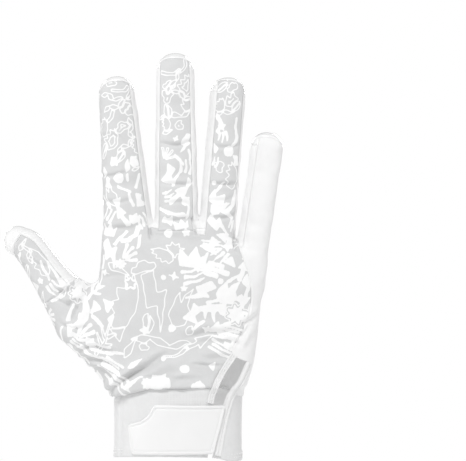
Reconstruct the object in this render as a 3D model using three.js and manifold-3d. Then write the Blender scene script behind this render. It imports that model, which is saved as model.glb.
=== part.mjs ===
// A right-hand receiver glove, filled out as if worn: a hollow shell of sewn panels with an elastic cuff,
// an open wrist slit edged with binding, and a hook-and-loop strap across the back of the wrist.
// Millimetres. +Z runs up the fingers, +X points to the little-finger side, and -Y faces the back of the hand.
// The origin is the centre of the cuff's mouth, where the wrist goes in.

import * as THREE from 'three';
import { mergeVertices } from 'three/addons/utils/BufferGeometryUtils.js';
import Module from 'manifold-3d';

const wasm = await Module();
wasm.setup();

// Overall sizes
const cuffBreadth = 74.2;
const cuffDepth = 50;
const cuffHeight = 37;
const handBreadth = 93;
const palmHeight = 97;
const palmThickness = 32;
const fingerLength = 99;
const fingerBreadth = 22.6;
const fingerDepth = 19.6;
const thumbBreadth = 19.6;
const thumbDepth = 18.6;

// Fabric and seams
const panelWall = 1.4;
const cuffWall = 2;
const seamGap = 0.3;
const tipWrap = 4.2;
const webDepth = 4;
const crownLap = 3.4;
const gussetTipInset = 9;

// Wrist slit, its binding and the strap
const slitAboveCuff = 20.5;
const slitTop = cuffHeight + slitAboveCuff;
const slitSlant = 3.5;
const bindingWidth = 4.2;
const bindingThickness = 1;
const strapThickness = 1.7;
const strapHeight = 30;
const strapLength = 53;
const strapHemInset = 1.8;

// Facets
const trunkSides = 30;
const fingerSides = 14;
const stripSteps = 6;
const far = 200;

// How low the hem hangs round the mouth: turn is a share of a turn from the little-finger side, towards the palm
// first, and drop a share of cuffHeight
const hemRows = [
  { turn: 0, drop: 0.07 },
  { turn: 0.12, drop: 0.01 },
  { turn: 0.2, drop: -0.03 },
  { turn: 0.32, drop: 0.05 },
  { turn: 0.5, drop: 0.03 },
  { turn: 0.68, drop: -0.02 },
  { turn: 0.84, drop: 0 },
  { turn: 0.9, drop: 0.07 },
  { turn: 1, drop: 0.07 },
];

// Cuff sections from just above the mouth up: up is a share of cuffHeight, breadth and depth of the cuff's own
const cuffRows = [
  { up: 0.14, breadth: 1, depth: 1 },
  { up: 0.5, breadth: 0.995, depth: 1 },
  { up: 0.84, breadth: 1.005, depth: 1.005 },
];

// Hand sections from the wrist seam up to the webs. up and fall (how far the little-finger end hangs lower) are
// shares of palmHeight, left and right of handBreadth, back, palm and forward of palmThickness, and wrist is how
// much of the cuff's own section is left. print is where the printed back ends, as a share of the half breadth.
const handRows = [
  { up: 0, fall: 0, wrist: 0.86, left: -0.5, right: 0.5, back: 0.8, palm: 0.8, forward: 0, print: 0.9 },
  { up: 0.04, fall: 0, wrist: 0.6, left: -0.5, right: 0.5, back: 0.85, palm: 0.78, forward: 0, print: 0.9 },
  { up: 0.1, fall: 0, wrist: 0.35, left: -0.54, right: 0.486, back: 0.7, palm: 0.73, forward: 0.01, print: 0.9 },
  { up: 0.17, fall: 0, wrist: 0.15, left: -0.585, right: 0.484, back: 0.71, palm: 0.69, forward: 0.02, print: 0.88 },
  { up: 0.25, fall: 0, wrist: 0.05, left: -0.642, right: 0.488, back: 0.655, palm: 0.66, forward: 0.03, print: 0.85 },
  { up: 0.34, fall: 0, wrist: 0, left: -0.715, right: 0.495, back: 0.63, palm: 0.64, forward: 0.04, print: 0.88 },
  { up: 0.44, fall: 0, wrist: 0, left: -0.66, right: 0.505, back: 0.6, palm: 0.62, forward: 0.04, print: 0.9 },
  { up: 0.55, fall: 0.01, wrist: 0, left: -0.56, right: 0.516, back: 0.57, palm: 0.58, forward: 0.03, print: 0.89 },
  { up: 0.65, fall: 0.03, wrist: 0, left: -0.5, right: 0.526, back: 0.544, palm: 0.54, forward: 0.01, print: 0.86 },
  { up: 0.77, fall: 0.06, wrist: 0, left: -0.479, right: 0.536, back: 0.516, palm: 0.51, forward: 0, print: 0.8 },
  { up: 0.87, fall: 0.1, wrist: 0, left: -0.467, right: 0.54, back: 0.47, palm: 0.47, forward: -0.01, print: 0.74 },
  { up: 0.94, fall: 0.13, wrist: 0, left: -0.456, right: 0.53, back: 0.39, palm: 0.39, forward: -0.02, print: 0.72 },
  { up: 0.985, fall: 0.14, wrist: 0, left: -0.436, right: 0.51, back: 0.22, palm: 0.22, forward: -0.02, print: 0.72 },
];

// Fingers: across is a share of handBreadth, rootUp and tipUp of palmHeight and fingerLength, rootWide and tipWide
// of fingerBreadth, deep of fingerDepth, rootForward and tipForward of palmThickness. printFrom and printTo bound
// the strip of back fabric, and palmFrom and palmTo the strip of palm fabric, as shares of the half breadth.
const fingers = [
  {
    name: 'index', rootAcross: -0.291, rootUp: 0.835, tipAcross: -0.392, tipUp: 0.866, rootWide: 1.33, tipWide: 0.86,
    deep: 0.97, rootForward: -0.02, tipForward: 0.06, printFrom: -1.3, printTo: 0.79, palmFrom: -1.3, palmTo: 0.82,
  },
  {
    name: 'middle', rootAcross: -0.007, rootUp: 0.835, tipAcross: -0.018, tipUp: 1, rootWide: 1.17, tipWide: 0.95,
    deep: 1.02, rootForward: -0.05, tipForward: 0.02, printFrom: -0.8, printTo: 0.77, palmFrom: -0.82, palmTo: 0.82,
  },
  {
    name: 'ring', rootAcross: 0.228, rootUp: 0.775, tipAcross: 0.318, tipUp: 0.86, rootWide: 0.97, tipWide: 0.91,
    deep: 0.97, rootForward: -0.02, tipForward: 0.09, printFrom: -0.6, printTo: 0.9, palmFrom: -0.84, palmTo: 0.8,
  },
  {
    name: 'little', rootAcross: 0.43, rootUp: 0.65, tipAcross: 0.57, tipUp: 0.54, rootWide: 0.84, tipWide: 0.82,
    deep: 0.88, rootForward: 0.08, tipForward: 0.22, printFrom: -0.6, printTo: 1.3, palmFrom: -0.84, palmTo: 0.9,
  },
];

const finger = Object.fromEntries(fingers.map((f) => [f.name, f]));

// Webs between the fingers: up is a share of palmHeight above the wrist seam. Their sections, from below up:
// below is a share of palmHeight under the web's top, and deep of fingerDepth
const webs = [
  { name: 'index_middle', left: finger.index, right: finger.middle, up: 1 },
  { name: 'middle_ring', left: finger.middle, right: finger.ring, up: 1.015 },
  { name: 'ring_little', left: finger.ring, right: finger.little, up: 0.887 },
];
const webRows = [
  { below: 0.2, deep: 1 },
  { below: 0.05, deep: 0.85 },
  { below: 0.015, deep: 0.62 },
  { below: 0, deep: 0.3 },
];

// Sections along every finger: joints swell a little, and the back fabric folds in between them
const fingerRows = [
  { along: 0, wide: 1, back: 1 },
  { along: 0.2, wide: 0.99, back: 1 },
  { along: 0.33, wide: 0.99, back: 1.03 },
  { along: 0.38, wide: 0.985, back: 0.95 },
  { along: 0.44, wide: 1, back: 1.03 },
  { along: 0.62, wide: 0.99, back: 1 },
  { along: 0.72, wide: 0.985, back: 0.96 },
  { along: 0.78, wide: 1, back: 1.02 },
];
const tipAngles = [0, 28, 52, 72, 85];

// Thumb sections from its root in the palm to its tip: across is a share of handBreadth, up of palmHeight,
// wide of thumbBreadth, deep of thumbDepth and forward of palmThickness
const thumbRows = [
  { across: -0.37, up: 0.22, wide: 1.15, deep: 1.3, forward: 0.04 },
  { across: -0.575, up: 0.415, wide: 1.62, deep: 1.6, forward: 0.08 },
  { across: -0.655, up: 0.512, wide: 1.6, deep: 1.46, forward: 0.11 },
  { across: -0.731, up: 0.596, wide: 1.3, deep: 1.25, forward: 0.14 },
  { across: -0.804, up: 0.689, wide: 1.1, deep: 1.1, forward: 0.165 },
  { across: -0.878, up: 0.79, wide: 1, deep: 1, forward: 0.19 },
  { across: -0.938, up: 0.862, wide: 0.98, deep: 0.94, forward: 0.205 },
  { across: -1.003, up: 0.9, wide: 0.87, deep: 0.86, forward: 0.22 },
];
const thumbPrint = { from: 3, to: 7, left: -1.3, right: 0.5 };

// The seam between hand and cuff, and the two edges of the slit: across, left and right are shares of cuffBreadth
// and up of cuffHeight in the first table, of slitTop in the second
const cuffSeam = [
  { across: -0.8, up: 0.89 },
  { across: -0.46, up: 0.93 },
  { across: -0.22, up: 1.05 },
  { across: 0.24, up: 1.08 },
  { across: 0.4, up: 1 },
  { across: 0.8, up: 0.84 },
];
const slitRows = [
  { left: 0.458, right: 0.552, up: 1 },
  { left: 0.288, right: 0.382, up: 0.575 },
  { left: 0.235, right: 0.278, up: 0 },
  { left: 0.225, right: 0.268, up: -0.2 },
];

// The strap's outline from its sewn end: along is a share of strapLength, up of strapHeight
const strapOutline = [
  { along: 0, up: 1 },
  { along: 0.76, up: 1.02 },
  { along: 0.825, up: 0.8 },
  { along: 0.9, up: 0.69 },
  { along: 1.04, up: 0.61 },
  { along: 1, up: 0 },
  { along: 0.145, up: 0.015 },
];

const lerp = THREE.MathUtils.lerp;
const clamp = THREE.MathUtils.clamp;
const rad = THREE.MathUtils.degToRad;

// A point on a rounded section: the half breadth runs along (ux, uz) and the depth along Y
function sectionPoint(section, angle, inset, squareness) {
  const power = 2 / squareness;
  const across = Math.sign(Math.cos(angle)) * Math.abs(Math.cos(angle)) ** power;
  const depth = Math.sign(Math.sin(angle)) * Math.abs(Math.sin(angle)) ** power;
  const half = Math.max(section.half - inset, 0.2);
  const reach = Math.max((depth < 0 ? section.back : section.palm) - inset, 0.2);
  return new THREE.Vector3(
    section.x + section.ux * half * across,
    section.mid + reach * depth,
    section.z + section.uz * half * across,
  );
}

function ringOf(section, sides, inset, squareness) {
  return Array.from({ length: sides }, (_, k) =>
    sectionPoint(section, (2 * Math.PI * (k + 0.5)) / sides, inset, squareness));
}

// Any closed geometry as a solid for joining and cutting, turned right side out
function toSolid(geometry) {
  const bare = new THREE.BufferGeometry();
  bare.setAttribute('position', geometry.getAttribute('position'));
  if (geometry.index) bare.setIndex(geometry.index);
  const merged = mergeVertices(bare, 1e-4);
  const vertProperties = merged.getAttribute('position').array;
  const triVerts = new Uint32Array(merged.index.array);
  const corner = (i) => new THREE.Vector3().fromArray(vertProperties, 3 * triVerts[i]);
  let volume = 0;
  for (let i = 0; i < triVerts.length; i += 3) {
    volume += corner(i).dot(corner(i + 1).cross(corner(i + 2)));
  }
  if (volume < 0) {
    for (let i = 0; i < triVerts.length; i += 3) {
      [triVerts[i + 1], triVerts[i + 2]] = [triVerts[i + 2], triVerts[i + 1]];
    }
  }
  return new wasm.Manifold(new wasm.Mesh({ numProp: 3, vertProperties, triVerts }));
}

// A skin drawn over a row of rings, closed by a fan at each end
function loftRings(rings) {
  const sides = rings[0].length;
  const centre = (ring) => ring.reduce((sum, p) => sum.add(p), new THREE.Vector3()).divideScalar(sides);
  const points = [...rings.flat(), centre(rings[0]), centre(rings.at(-1))];
  const foot = points.length - 2;
  const head = points.length - 1;
  const top = (rings.length - 1) * sides;
  const triangles = [];
  for (let side = 0; side < sides; side++) {
    const next = (side + 1) % sides;
    for (let ring = 0; ring + 1 < rings.length; ring++) {
      const low = ring * sides;
      const high = low + sides;
      triangles.push(low + side, low + next, high + side, low + next, high + next, high + side);
    }
    triangles.push(foot, next, side, head, top + side, top + next);
  }
  const geometry = new THREE.BufferGeometry().setFromPoints(points);
  geometry.setIndex(triangles);
  return toSolid(geometry);
}

// A prism over an outline drawn in the XZ plane, from one depth to another
function prism(outline, fromY, toY) {
  const shape = new THREE.Shape(outline.map((p) => new THREE.Vector2(p.x, p.z)));
  const geometry = new THREE.ExtrudeGeometry(shape, { depth: toY - fromY, bevelEnabled: false });
  geometry.rotateX(Math.PI / 2).translate(0, toY, 0);
  return toSolid(geometry);
}

const joined = (solids) => solids.reduce((sum, solid) => sum.add(solid));
const cutBy = (solid, cutters) => cutters.reduce((left, cutter) => left.subtract(cutter), solid);

// The wrist and palm as one run of sections, from below the cuff's mouth to the webs of the fingers
function cuffSections() {
  return cuffRows.map((row) => ({
    x: 0, z: row.up * cuffHeight, ux: 1, uz: 0, mid: 0,
    half: (row.breadth * cuffBreadth) / 2,
    back: (row.depth * cuffDepth) / 2,
    palm: (row.depth * cuffDepth) / 2,
  }));
}

function handSections(inset) {
  const topRow = handRows.length - 1;
  return handRows.map((row, k) => {
    const left = lerp(row.left * handBreadth, -cuffBreadth / 2, row.wrist);
    const right = lerp(row.right * handBreadth, cuffBreadth / 2, row.wrist);
    const low = -row.fall * palmHeight;
    const span = Math.hypot(right - left, low);
    const crown = k === topRow ? inset : 0;
    return {
      x: (left + right) / 2,
      z: cuffHeight + row.up * palmHeight + low / 2 - crown,
      ux: (right - left) / span,
      uz: low / span,
      half: span / 2,
      mid: row.forward * palmThickness,
      back: lerp(row.back * palmThickness, cuffDepth / 2, row.wrist),
      palm: lerp(row.palm * palmThickness, cuffDepth / 2, row.wrist),
      print: row.print,
    };
  });
}

function hemDrop(turn) {
  const next = hemRows.findIndex((row) => row.turn >= turn);
  const high = hemRows[Math.max(next, 1)];
  const low = hemRows[Math.max(next, 1) - 1];
  return cuffHeight * lerp(low.drop, high.drop, (turn - low.turn) / (high.turn - low.turn));
}

// The ring round the mouth follows the hem, or lies well below it for a form that is cut away
function mouthRing(inset) {
  const ring = ringOf({ ...cuffSections()[0], z: 0 }, trunkSides, inset, 2.15);
  return ring.map((p, k) => {
    const drop = inset > 0 ? cuffHeight * 0.3 : hemDrop((k + 0.5) / trunkSides);
    return new THREE.Vector3(p.x, p.y, -drop);
  });
}

const trunk = (inset) =>
  loftRings([
    mouthRing(inset),
    ...cuffSections().map((s) => ringOf(s, trunkSides, inset, 2.15)),
    ...handSections(inset).map((s) => ringOf(s, trunkSides, inset, 2.3)),
  ]);

// One finger's axis, breadth and depth at a share of its length
function fingerSection(finger, along, inset = 0) {
  const root = { x: finger.rootAcross * handBreadth, z: cuffHeight + finger.rootUp * palmHeight };
  const tip = { x: finger.tipAcross * handBreadth, z: cuffHeight + palmHeight + finger.tipUp * fingerLength };
  const length = Math.hypot(tip.x - root.x, tip.z - root.z);
  const dirX = (tip.x - root.x) / length;
  const dirZ = (tip.z - root.z) / length;
  const reach = along * (length - inset);
  const bend = (finger.tipForward - finger.rootForward) * along * along;
  return {
    x: root.x + dirX * reach,
    z: root.z + dirZ * reach,
    ux: dirZ,
    uz: -dirX,
    dirX,
    dirZ,
    length,
    half: (lerp(finger.rootWide, finger.tipWide, along) * fingerBreadth) / 2,
    mid: (finger.rootForward + bend) * palmThickness,
    back: (finger.deep * fingerDepth * lerp(1, 0.9, along)) / 2,
    palm: (finger.deep * fingerDepth * lerp(1, 0.9, along)) / 2,
  };
}

// Sections that round a limb off over its last half breadth
function roundedTip(base, inset) {
  const radius = base.half - inset;
  return tipAngles.map((degrees) => {
    const shrink = Math.cos(rad(degrees));
    const ahead = radius * Math.sin(rad(degrees));
    return {
      ...base,
      x: base.x + base.dirX * ahead,
      z: base.z + base.dirZ * ahead,
      half: radius * shrink + inset,
      back: (base.back - inset) * shrink + inset,
      palm: (base.palm - inset) * shrink + inset,
    };
  });
}

function fingerSolid(finger, inset) {
  const whole = fingerSection(finger, 1, inset);
  const tipStart = 1 - whole.half / whole.length;
  const shaft = fingerRows.map((row) => {
    const section = fingerSection(finger, row.along, inset);
    return { ...section, half: section.half * row.wide, back: section.back * row.back };
  });
  const tip = roundedTip(fingerSection(finger, tipStart, 0), inset);
  return loftRings([...shaft, ...tip].map((s) => ringOf(s, fingerSides, inset, 2.1)));
}

const thumbPoint = (row) => ({ x: row.across * handBreadth, z: cuffHeight + row.up * palmHeight });

function thumbSection(index) {
  const row = thumbRows[index];
  const here = thumbPoint(row);
  const before = thumbPoint(thumbRows[Math.max(index - 1, 0)]);
  const after = thumbPoint(thumbRows[Math.min(index + 1, thumbRows.length - 1)]);
  const run = Math.hypot(after.x - before.x, after.z - before.z);
  const dirX = (after.x - before.x) / run;
  const dirZ = (after.z - before.z) / run;
  return {
    ...here, dirX, dirZ, ux: dirZ, uz: -dirX,
    half: (row.wide * thumbBreadth) / 2,
    mid: row.forward * palmThickness,
    back: (row.deep * thumbDepth) / 2,
    palm: (row.deep * thumbDepth) / 2,
  };
}

function thumbSolid(inset) {
  const shaft = thumbRows.slice(0, -1).map((_, k) => thumbSection(k));
  const tip = roundedTip(thumbSection(thumbRows.length - 1), inset);
  return loftRings([...shaft, ...tip].map((s) => ringOf(s, fingerSides, inset, 2.1)));
}

// A finger's section at a height
function sectionAtHeight(finger, z) {
  const root = fingerSection(finger, 0);
  return fingerSection(finger, (z - root.z) / (root.dirZ * root.length));
}

// The rounded web that joins two neighbouring fingers, from inside one to inside the other
function webSolid(web, inset) {
  const top = cuffHeight + web.up * palmHeight;
  const rings = webRows.map((row) => {
    const z = top - row.below * palmHeight;
    const left = sectionAtHeight(web.left, z);
    const right = sectionAtHeight(web.right, z);
    const half = (right.x - left.x) / 2;
    const deep = (row.deep * fingerDepth) / 2;
    const lift = row.below === 0 ? inset : 0;
    const mid = (left.mid + right.mid) / 2;
    return { x: left.x + half, z: z - lift, ux: 1, uz: 0, half, mid, back: deep, palm: deep };
  });
  return loftRings(rings.map((s) => ringOf(s, 12, inset, 2.2)));
}

// The whole outer or inner form
const form = (inset) =>
  joined([
    trunk(inset),
    thumbSolid(inset),
    ...fingers.map((finger) => fingerSolid(finger, inset)),
    ...webs.map((web) => webSolid(web, inset)),
  ]);

// A ribbon of space over a limb, between two shares of its half breadth and two depths: a cutter for panels
function ribbon(sections, left, right, fromY, toY, grow = 0) {
  const rings = sections.map((s) => {
    const share = (value) => (typeof value === 'function' ? value(s) : value);
    const low = share(left) * s.half - grow;
    const high = share(right) * s.half + grow;
    const near = (typeof fromY === 'function' ? fromY(s) : fromY) - grow;
    const deep = (typeof toY === 'function' ? toY(s) : toY) + grow;
    const at = (offset, y) => new THREE.Vector3(s.x + s.ux * offset, y, s.z + s.uz * offset);
    return [at(low, near), at(high, near), at(high, deep), at(low, deep)];
  });
  return loftRings(rings);
}

// The middle of a limb's depth, and a little in front of it, where the rear cutters begin
const halfway = (s) => s.mid;
const overHalfway = (s) => s.mid - 1;

// A finger's sections from its root, stretched on below it, to a distance short of its tip
function fingerRun(finger, fromAlong, tipInset) {
  const length = fingerSection(finger, 1).length;
  const toAlong = 1 - tipInset / length;
  return Array.from({ length: stripSteps + 1 }, (_, k) =>
    fingerSection(finger, lerp(fromAlong, toAlong, k / stripSteps)));
}

function fingerBackStrip(f, tipInset, grow, fromAlong = 0) {
  return ribbon(fingerRun(f, fromAlong, tipInset - grow), f.printFrom, f.printTo, -far, halfway, grow);
}

// The top of the palm's own form at a place across it
const crown = handSections(0).at(-1);
const crownAt = (x) => crown.z + ((x - crown.x) * crown.uz) / crown.ux;

// Printed fabric
const middleSeam = 0.105;

function middleBackRegion(grow) {
  return fingerBackStrip(finger.middle, tipWrap, grow, middleSeam - grow / fingerLength);
}

function middleRootStrip(grow) {
  const length = fingerSection(finger.middle, 1).length;
  const run = fingerRun(finger.middle, 0, (1 - middleSeam) * length);
  return ribbon(run, -0.9, 0.9, -far, halfway, grow);
}

function thumbBackRegion(grow) {
  const run = thumbRows.slice(thumbPrint.from, thumbPrint.to + 1).map((_, k) => thumbSection(thumbPrint.from + k));
  run[0] = { ...run[0], x: run[0].x - run[0].dirX * grow, z: run[0].z - run[0].dirZ * grow };
  const end = run.at(-1);
  run[run.length - 1] = { ...end, x: end.x + end.dirX * grow, z: end.z + end.dirZ * grow };
  return ribbon(run, thumbPrint.left, thumbPrint.right, -far, halfway, grow);
}

function handBackRegion(grow) {
  const hand = handSections(0);
  const below = { ...cuffSections()[1], print: 0.9 };
  const reach = (s) => (s.z > cuffHeight + palmHeight * 0.5 ? -1.12 : -1.6);
  const above = { ...crown, z: crown.z + crownLap };
  const print = ribbon([below, ...hand, above], reach, (s) => s.print, -far, halfway, grow);
  const thumbRoot = thumbRows.slice(0, thumbPrint.from + 1).map((_, k) => thumbSection(k));
  return joined([
    print,
    ribbon(thumbRoot, -1.3, 1.1, -far, halfway, grow),
    fingerBackStrip(finger.index, tipWrap, grow),
    middleRootStrip(grow),
    fingerBackStrip(finger.ring, tipWrap * 0.5, grow),
  ]);
}

// Plain fabric round the little-finger edge of the hand and over the back of the little finger
function sideRegion(grow) {
  const hand = [{ ...cuffSections()[1], print: 0.9 }, ...handSections(0)];
  const little = fingerRun(finger.little, 0, tipWrap - grow);
  const littleRear = (s) => lerp(0.55, 0.9, clamp((s.z - little[0].z) / fingerBreadth, 0, 1));
  return joined([
    ribbon(hand, 0.6, 1.8, -far, halfway, grow),
    ribbon(hand, 0.93, 1.8, overHalfway, far, grow),
    ribbon(little, finger.little.printFrom, 1.8, -far, halfway, grow),
    ribbon(little, littleRear, 1.8, overHalfway, far, grow),
  ]);
}

// Gussets between two fingers: the side walls that face each other, down to the web
function gussetRegion(web, grow) {
  const tipInset = gussetTipInset - grow;
  const top = cuffHeight + web.up * palmHeight;
  const side = (f, share) =>
    fingerRun(f, 0, tipInset).map((s) => ({ x: s.x + s.ux * s.half * share, z: s.z + s.uz * s.half * share }));
  const leftLine = side(web.left, 0.4);
  const rightLine = side(web.right, -0.4);
  const floor = Math.min(top - webDepth, crownAt((leftLine[0].x + rightLine[0].x) / 2) + crownLap / 2) - grow;
  const between = [
    { x: leftLine[0].x - grow, z: floor },
    { x: rightLine[0].x + grow, z: floor },
    ...rightLine.filter((p) => p.z > top).map((p) => ({ x: p.x + grow, z: p.z })),
    ...leftLine.filter((p) => p.z > top).map((p) => ({ x: p.x - grow, z: p.z })).reverse(),
  ];
  const palmStrips = [web.left, web.right].map((f) =>
    ribbon(fingerRun(f, 0, 0), f.palmFrom, f.palmTo, (s) => s.mid + grow, far, -grow));
  return cutBy(prism(between, -far, far), palmStrips);
}

// Above and below the seam between hand and cuff
function seamZone(above, grow) {
  const line = cuffSeam.map((p) => ({ x: p.across * cuffBreadth, z: p.up * cuffHeight }));
  const edge = above ? far * 2 : -far;
  const shift = above ? grow : -grow;
  const reach = (side) => ({ x: side * far, z: edge });
  const shifted = line.map((p) => ({ x: p.x, z: p.z + shift }));
  const ends = [{ x: -far, z: shifted[0].z }, ...shifted, { x: far, z: shifted.at(-1).z }];
  return prism([...ends, reach(1), reach(-1)], -far, far);
}

// One edge of the slit from its top down; the little-finger edge starts lower
function slitEdge(side) {
  return slitRows.map((row, k) => ({
    x: (side < 0 ? row.left : row.right) * cuffBreadth,
    z: row.up * slitTop - (side > 0 && k === 0 ? slitSlant : 0),
  }));
}

const slit = prism([...slitEdge(-1), ...slitEdge(1).reverse()], -far, 0);

const handShell = cutBy(
  form(0).subtract(form(panelWall)).intersect(seamZone(true, seamGap / 2)),
  [slit],
);
const cuffShell = cutBy(
  trunk(0).subtract(trunk(cuffWall)).intersect(seamZone(false, seamGap / 2)),
  [slit],
);

// Cuts the hand shell into its panels, each one clear of those before it by the seam gap
const regions = [
  ['middle_finger_back', middleBackRegion],
  ['thumb_back', thumbBackRegion],
  ['back_panel', handBackRegion],
  ['side_panel', sideRegion],
  ...webs.map((web) => ['gusset_' + web.name, (grow) => gussetRegion(web, grow)]),
];

// The main body of a cut solid, with slivers thinner than a twentieth of a millimetre closed up
function largestPiece(solid) {
  return solid.simplify(0.05).decompose().sort((a, b) => b.volume() - a.volume())[0];
}

const panels = {};
let rest = handShell;
for (const [name, region] of regions) {
  panels[name] = largestPiece(rest.intersect(region(0)));
  rest = rest.subtract(region(seamGap));
}
panels.palm_panel = largestPiece(rest);

// The palm and the back are each parted above the knuckles, so that every piece of the shell keeps a simple form:
// up is a share of palmHeight above the wrist seam
const knuckles = { index: 1.035, middle: 1.035, ring: 1.035, little: 0.95 };

function fingerRegion(name, grow) {
  const root = fingerSection(finger[name], 0);
  const z = cuffHeight + knuckles[name] * palmHeight;
  const along = (z - root.z) / (root.dirZ * root.length);
  const run = fingerRun(finger[name], along - grow / root.length, -fingerBreadth);
  return ribbon(run, -1.08, 1.08, -far, far, grow);
}

function thumbRegion(grow) {
  const run = thumbRows.slice(thumbPrint.from).map((_, k) => thumbSection(thumbPrint.from + k));
  const start = run[0];
  const end = run.at(-1);
  const moved = (s, by) => ({ ...s, x: s.x + s.dirX * by, z: s.z + s.dirZ * by });
  return ribbon([moved(start, -grow), ...run.slice(1), moved(end, thumbBreadth)], -1.35, 1.35, -far, far, grow);
}

// The space between two heights, given as shares of palmHeight above the wrist seam
function levelRegion(from, to, grow) {
  const low = cuffHeight + from * palmHeight - grow;
  const high = cuffHeight + to * palmHeight + grow;
  const corner = (x, z) => ({ x, z });
  return prism([corner(-far, low), corner(far, low), corner(far, high), corner(-far, high)], -far, far);
}

// The space to the thumb's side of a place across the hand, a share of handBreadth
function thumbSide(across, grow) {
  const edge = across * handBreadth + grow;
  const corner = (x, z) => ({ x, z });
  return prism([corner(-far, -far), corner(edge, -far), corner(edge, far), corner(-far, far)], -far, far);
}

function partOff(from, name, region) {
  panels[name] = largestPiece(panels[from].intersect(region(0)));
  panels[from] = largestPiece(panels[from].subtract(region(seamGap)));
}

for (const name of Object.keys(knuckles)) {
  partOff('palm_panel', 'palm_' + name, (grow) => fingerRegion(name, grow));
}
partOff('palm_panel', 'palm_thumb', thumbRegion);
partOff('palm_panel', 'palm_heel', (grow) => levelRegion(-1, 0.4, grow));
partOff('palm_panel', 'palm_knuckles', (grow) => levelRegion(0.8, 2, grow));
partOff('back_panel', 'back_index', (grow) => fingerRegion('index', grow));
partOff('back_panel', 'back_ring', (grow) => fingerRegion('ring', grow));
partOff('back_panel', 'back_wrist', (grow) => levelRegion(-1, 0.24, grow));
partOff('back_panel', 'back_thumb_root', (grow) => thumbSide(-0.5, grow));

// A layer that lies on the outside of the wrist and hand, over an outline
function outerLayer(outline, thickness) {
  const layer = trunk(-seamGap - thickness).subtract(trunk(-seamGap));
  return layer.intersect(prism(outline, -far, 0));
}

// Where the little-finger edge of the slit lies at a height on the cuff
function slitRight(z) {
  const [, upper, lower] = slitEdge(1);
  return lerp(lower.x, upper.x, (z - lower.z) / (upper.z - lower.z));
}

function strapPoints() {
  const corner = slitRight(strapHeight) - seamGap;
  return strapOutline.map((p) => {
    const z = strapHemInset + p.up * (strapHeight - strapHemInset);
    return { x: p.along < 0.2 ? slitRight(z) - seamGap : corner - strapLength * p.along, z };
  });
}

// Binding along one edge of the slit, down to a height: side is -1 for the edge on the back of the hand, 1 for the
// little-finger edge
function bindingOutline(side, lowest) {
  const edge = slitEdge(side).filter((p) => p.z > lowest);
  const [from, to] = slitEdge(side).slice(edge.length - 1);
  const t = (lowest - to.z) / (from.z - to.z);
  const inner = [...edge, { x: lerp(to.x, from.x, t), z: lowest }];
  return [...inner, ...inner.map((p) => ({ x: p.x + side * bindingWidth, z: p.z })).reverse()];
}

const strap = largestPiece(outerLayer(strapPoints(), strapThickness));
const bindingBack = largestPiece(outerLayer(bindingOutline(-1, strapHeight + seamGap * 3), bindingThickness));
const bindingSide = largestPiece(outerLayer(bindingOutline(1, strapHemInset), bindingThickness));

// Finishes
const finish = (colour, roughness) =>
  new THREE.MeshStandardMaterial({ color: colour, roughness, metalness: 0 });
const printedKnit = finish(0xd9dadb, 0.85);
const plainKnit = finish(0xf1f2f3, 0.8);
const tackyPalm = finish(0xe9eaeb, 0.18);
const elastic = finish(0xe3e4e5, 0.9);
const mouldedStrap = finish(0xf6f6f7, 0.45);

const nodes = [
  ['back_panel', panels.back_panel, printedKnit],
  ['back_wrist', panels.back_wrist, printedKnit],
  ['back_thumb_root', panels.back_thumb_root, printedKnit],
  ['back_index', panels.back_index, printedKnit],
  ['back_ring', panels.back_ring, printedKnit],
  ['middle_finger_back', panels.middle_finger_back, printedKnit],
  ['thumb_back', panels.thumb_back, printedKnit],
  ['side_panel', panels.side_panel, plainKnit],
  ['gusset_index_middle', panels.gusset_index_middle, plainKnit],
  ['gusset_middle_ring', panels.gusset_middle_ring, plainKnit],
  ['gusset_ring_little', panels.gusset_ring_little, plainKnit],
  ['palm_panel', panels.palm_panel, tackyPalm],
  ['palm_heel', panels.palm_heel, tackyPalm],
  ['palm_knuckles', panels.palm_knuckles, tackyPalm],
  ['palm_thumb', panels.palm_thumb, tackyPalm],
  ['palm_index', panels.palm_index, tackyPalm],
  ['palm_middle', panels.palm_middle, tackyPalm],
  ['palm_ring', panels.palm_ring, tackyPalm],
  ['palm_little', panels.palm_little, tackyPalm],
  ['cuff_band', largestPiece(cuffShell), elastic],
  ['wrist_strap', strap, mouldedStrap],
  ['slit_binding_back', bindingBack, plainKnit],
  ['slit_binding_side', bindingSide, plainKnit],
];

function toMesh(name, solid, material) {
  const { vertProperties, triVerts } = solid.getMesh();
  const geometry = new THREE.BufferGeometry();
  geometry.setAttribute('position', new THREE.BufferAttribute(vertProperties, 3));
  geometry.setIndex(new THREE.BufferAttribute(triVerts, 1));
  geometry.computeVertexNormals();
  const mesh = new THREE.Mesh(geometry, material);
  mesh.name = name;
  return mesh;
}

const glove = new THREE.Group();
glove.add(...nodes.map(([name, solid, material]) => toMesh(name, solid, material)));

export default glove;
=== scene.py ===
# A right-hand receiver glove, filled out as if worn: printed knit back, glossy coated palm, white side
# panel and finger gussets, elastic cuff with a bound wrist slit and a moulded strap.
# +Z runs up the fingers, +X points to the little finger and -Y faces the back of the hand.
# Shapes are worked out in millimetres and become metres when a mesh is made.

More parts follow.
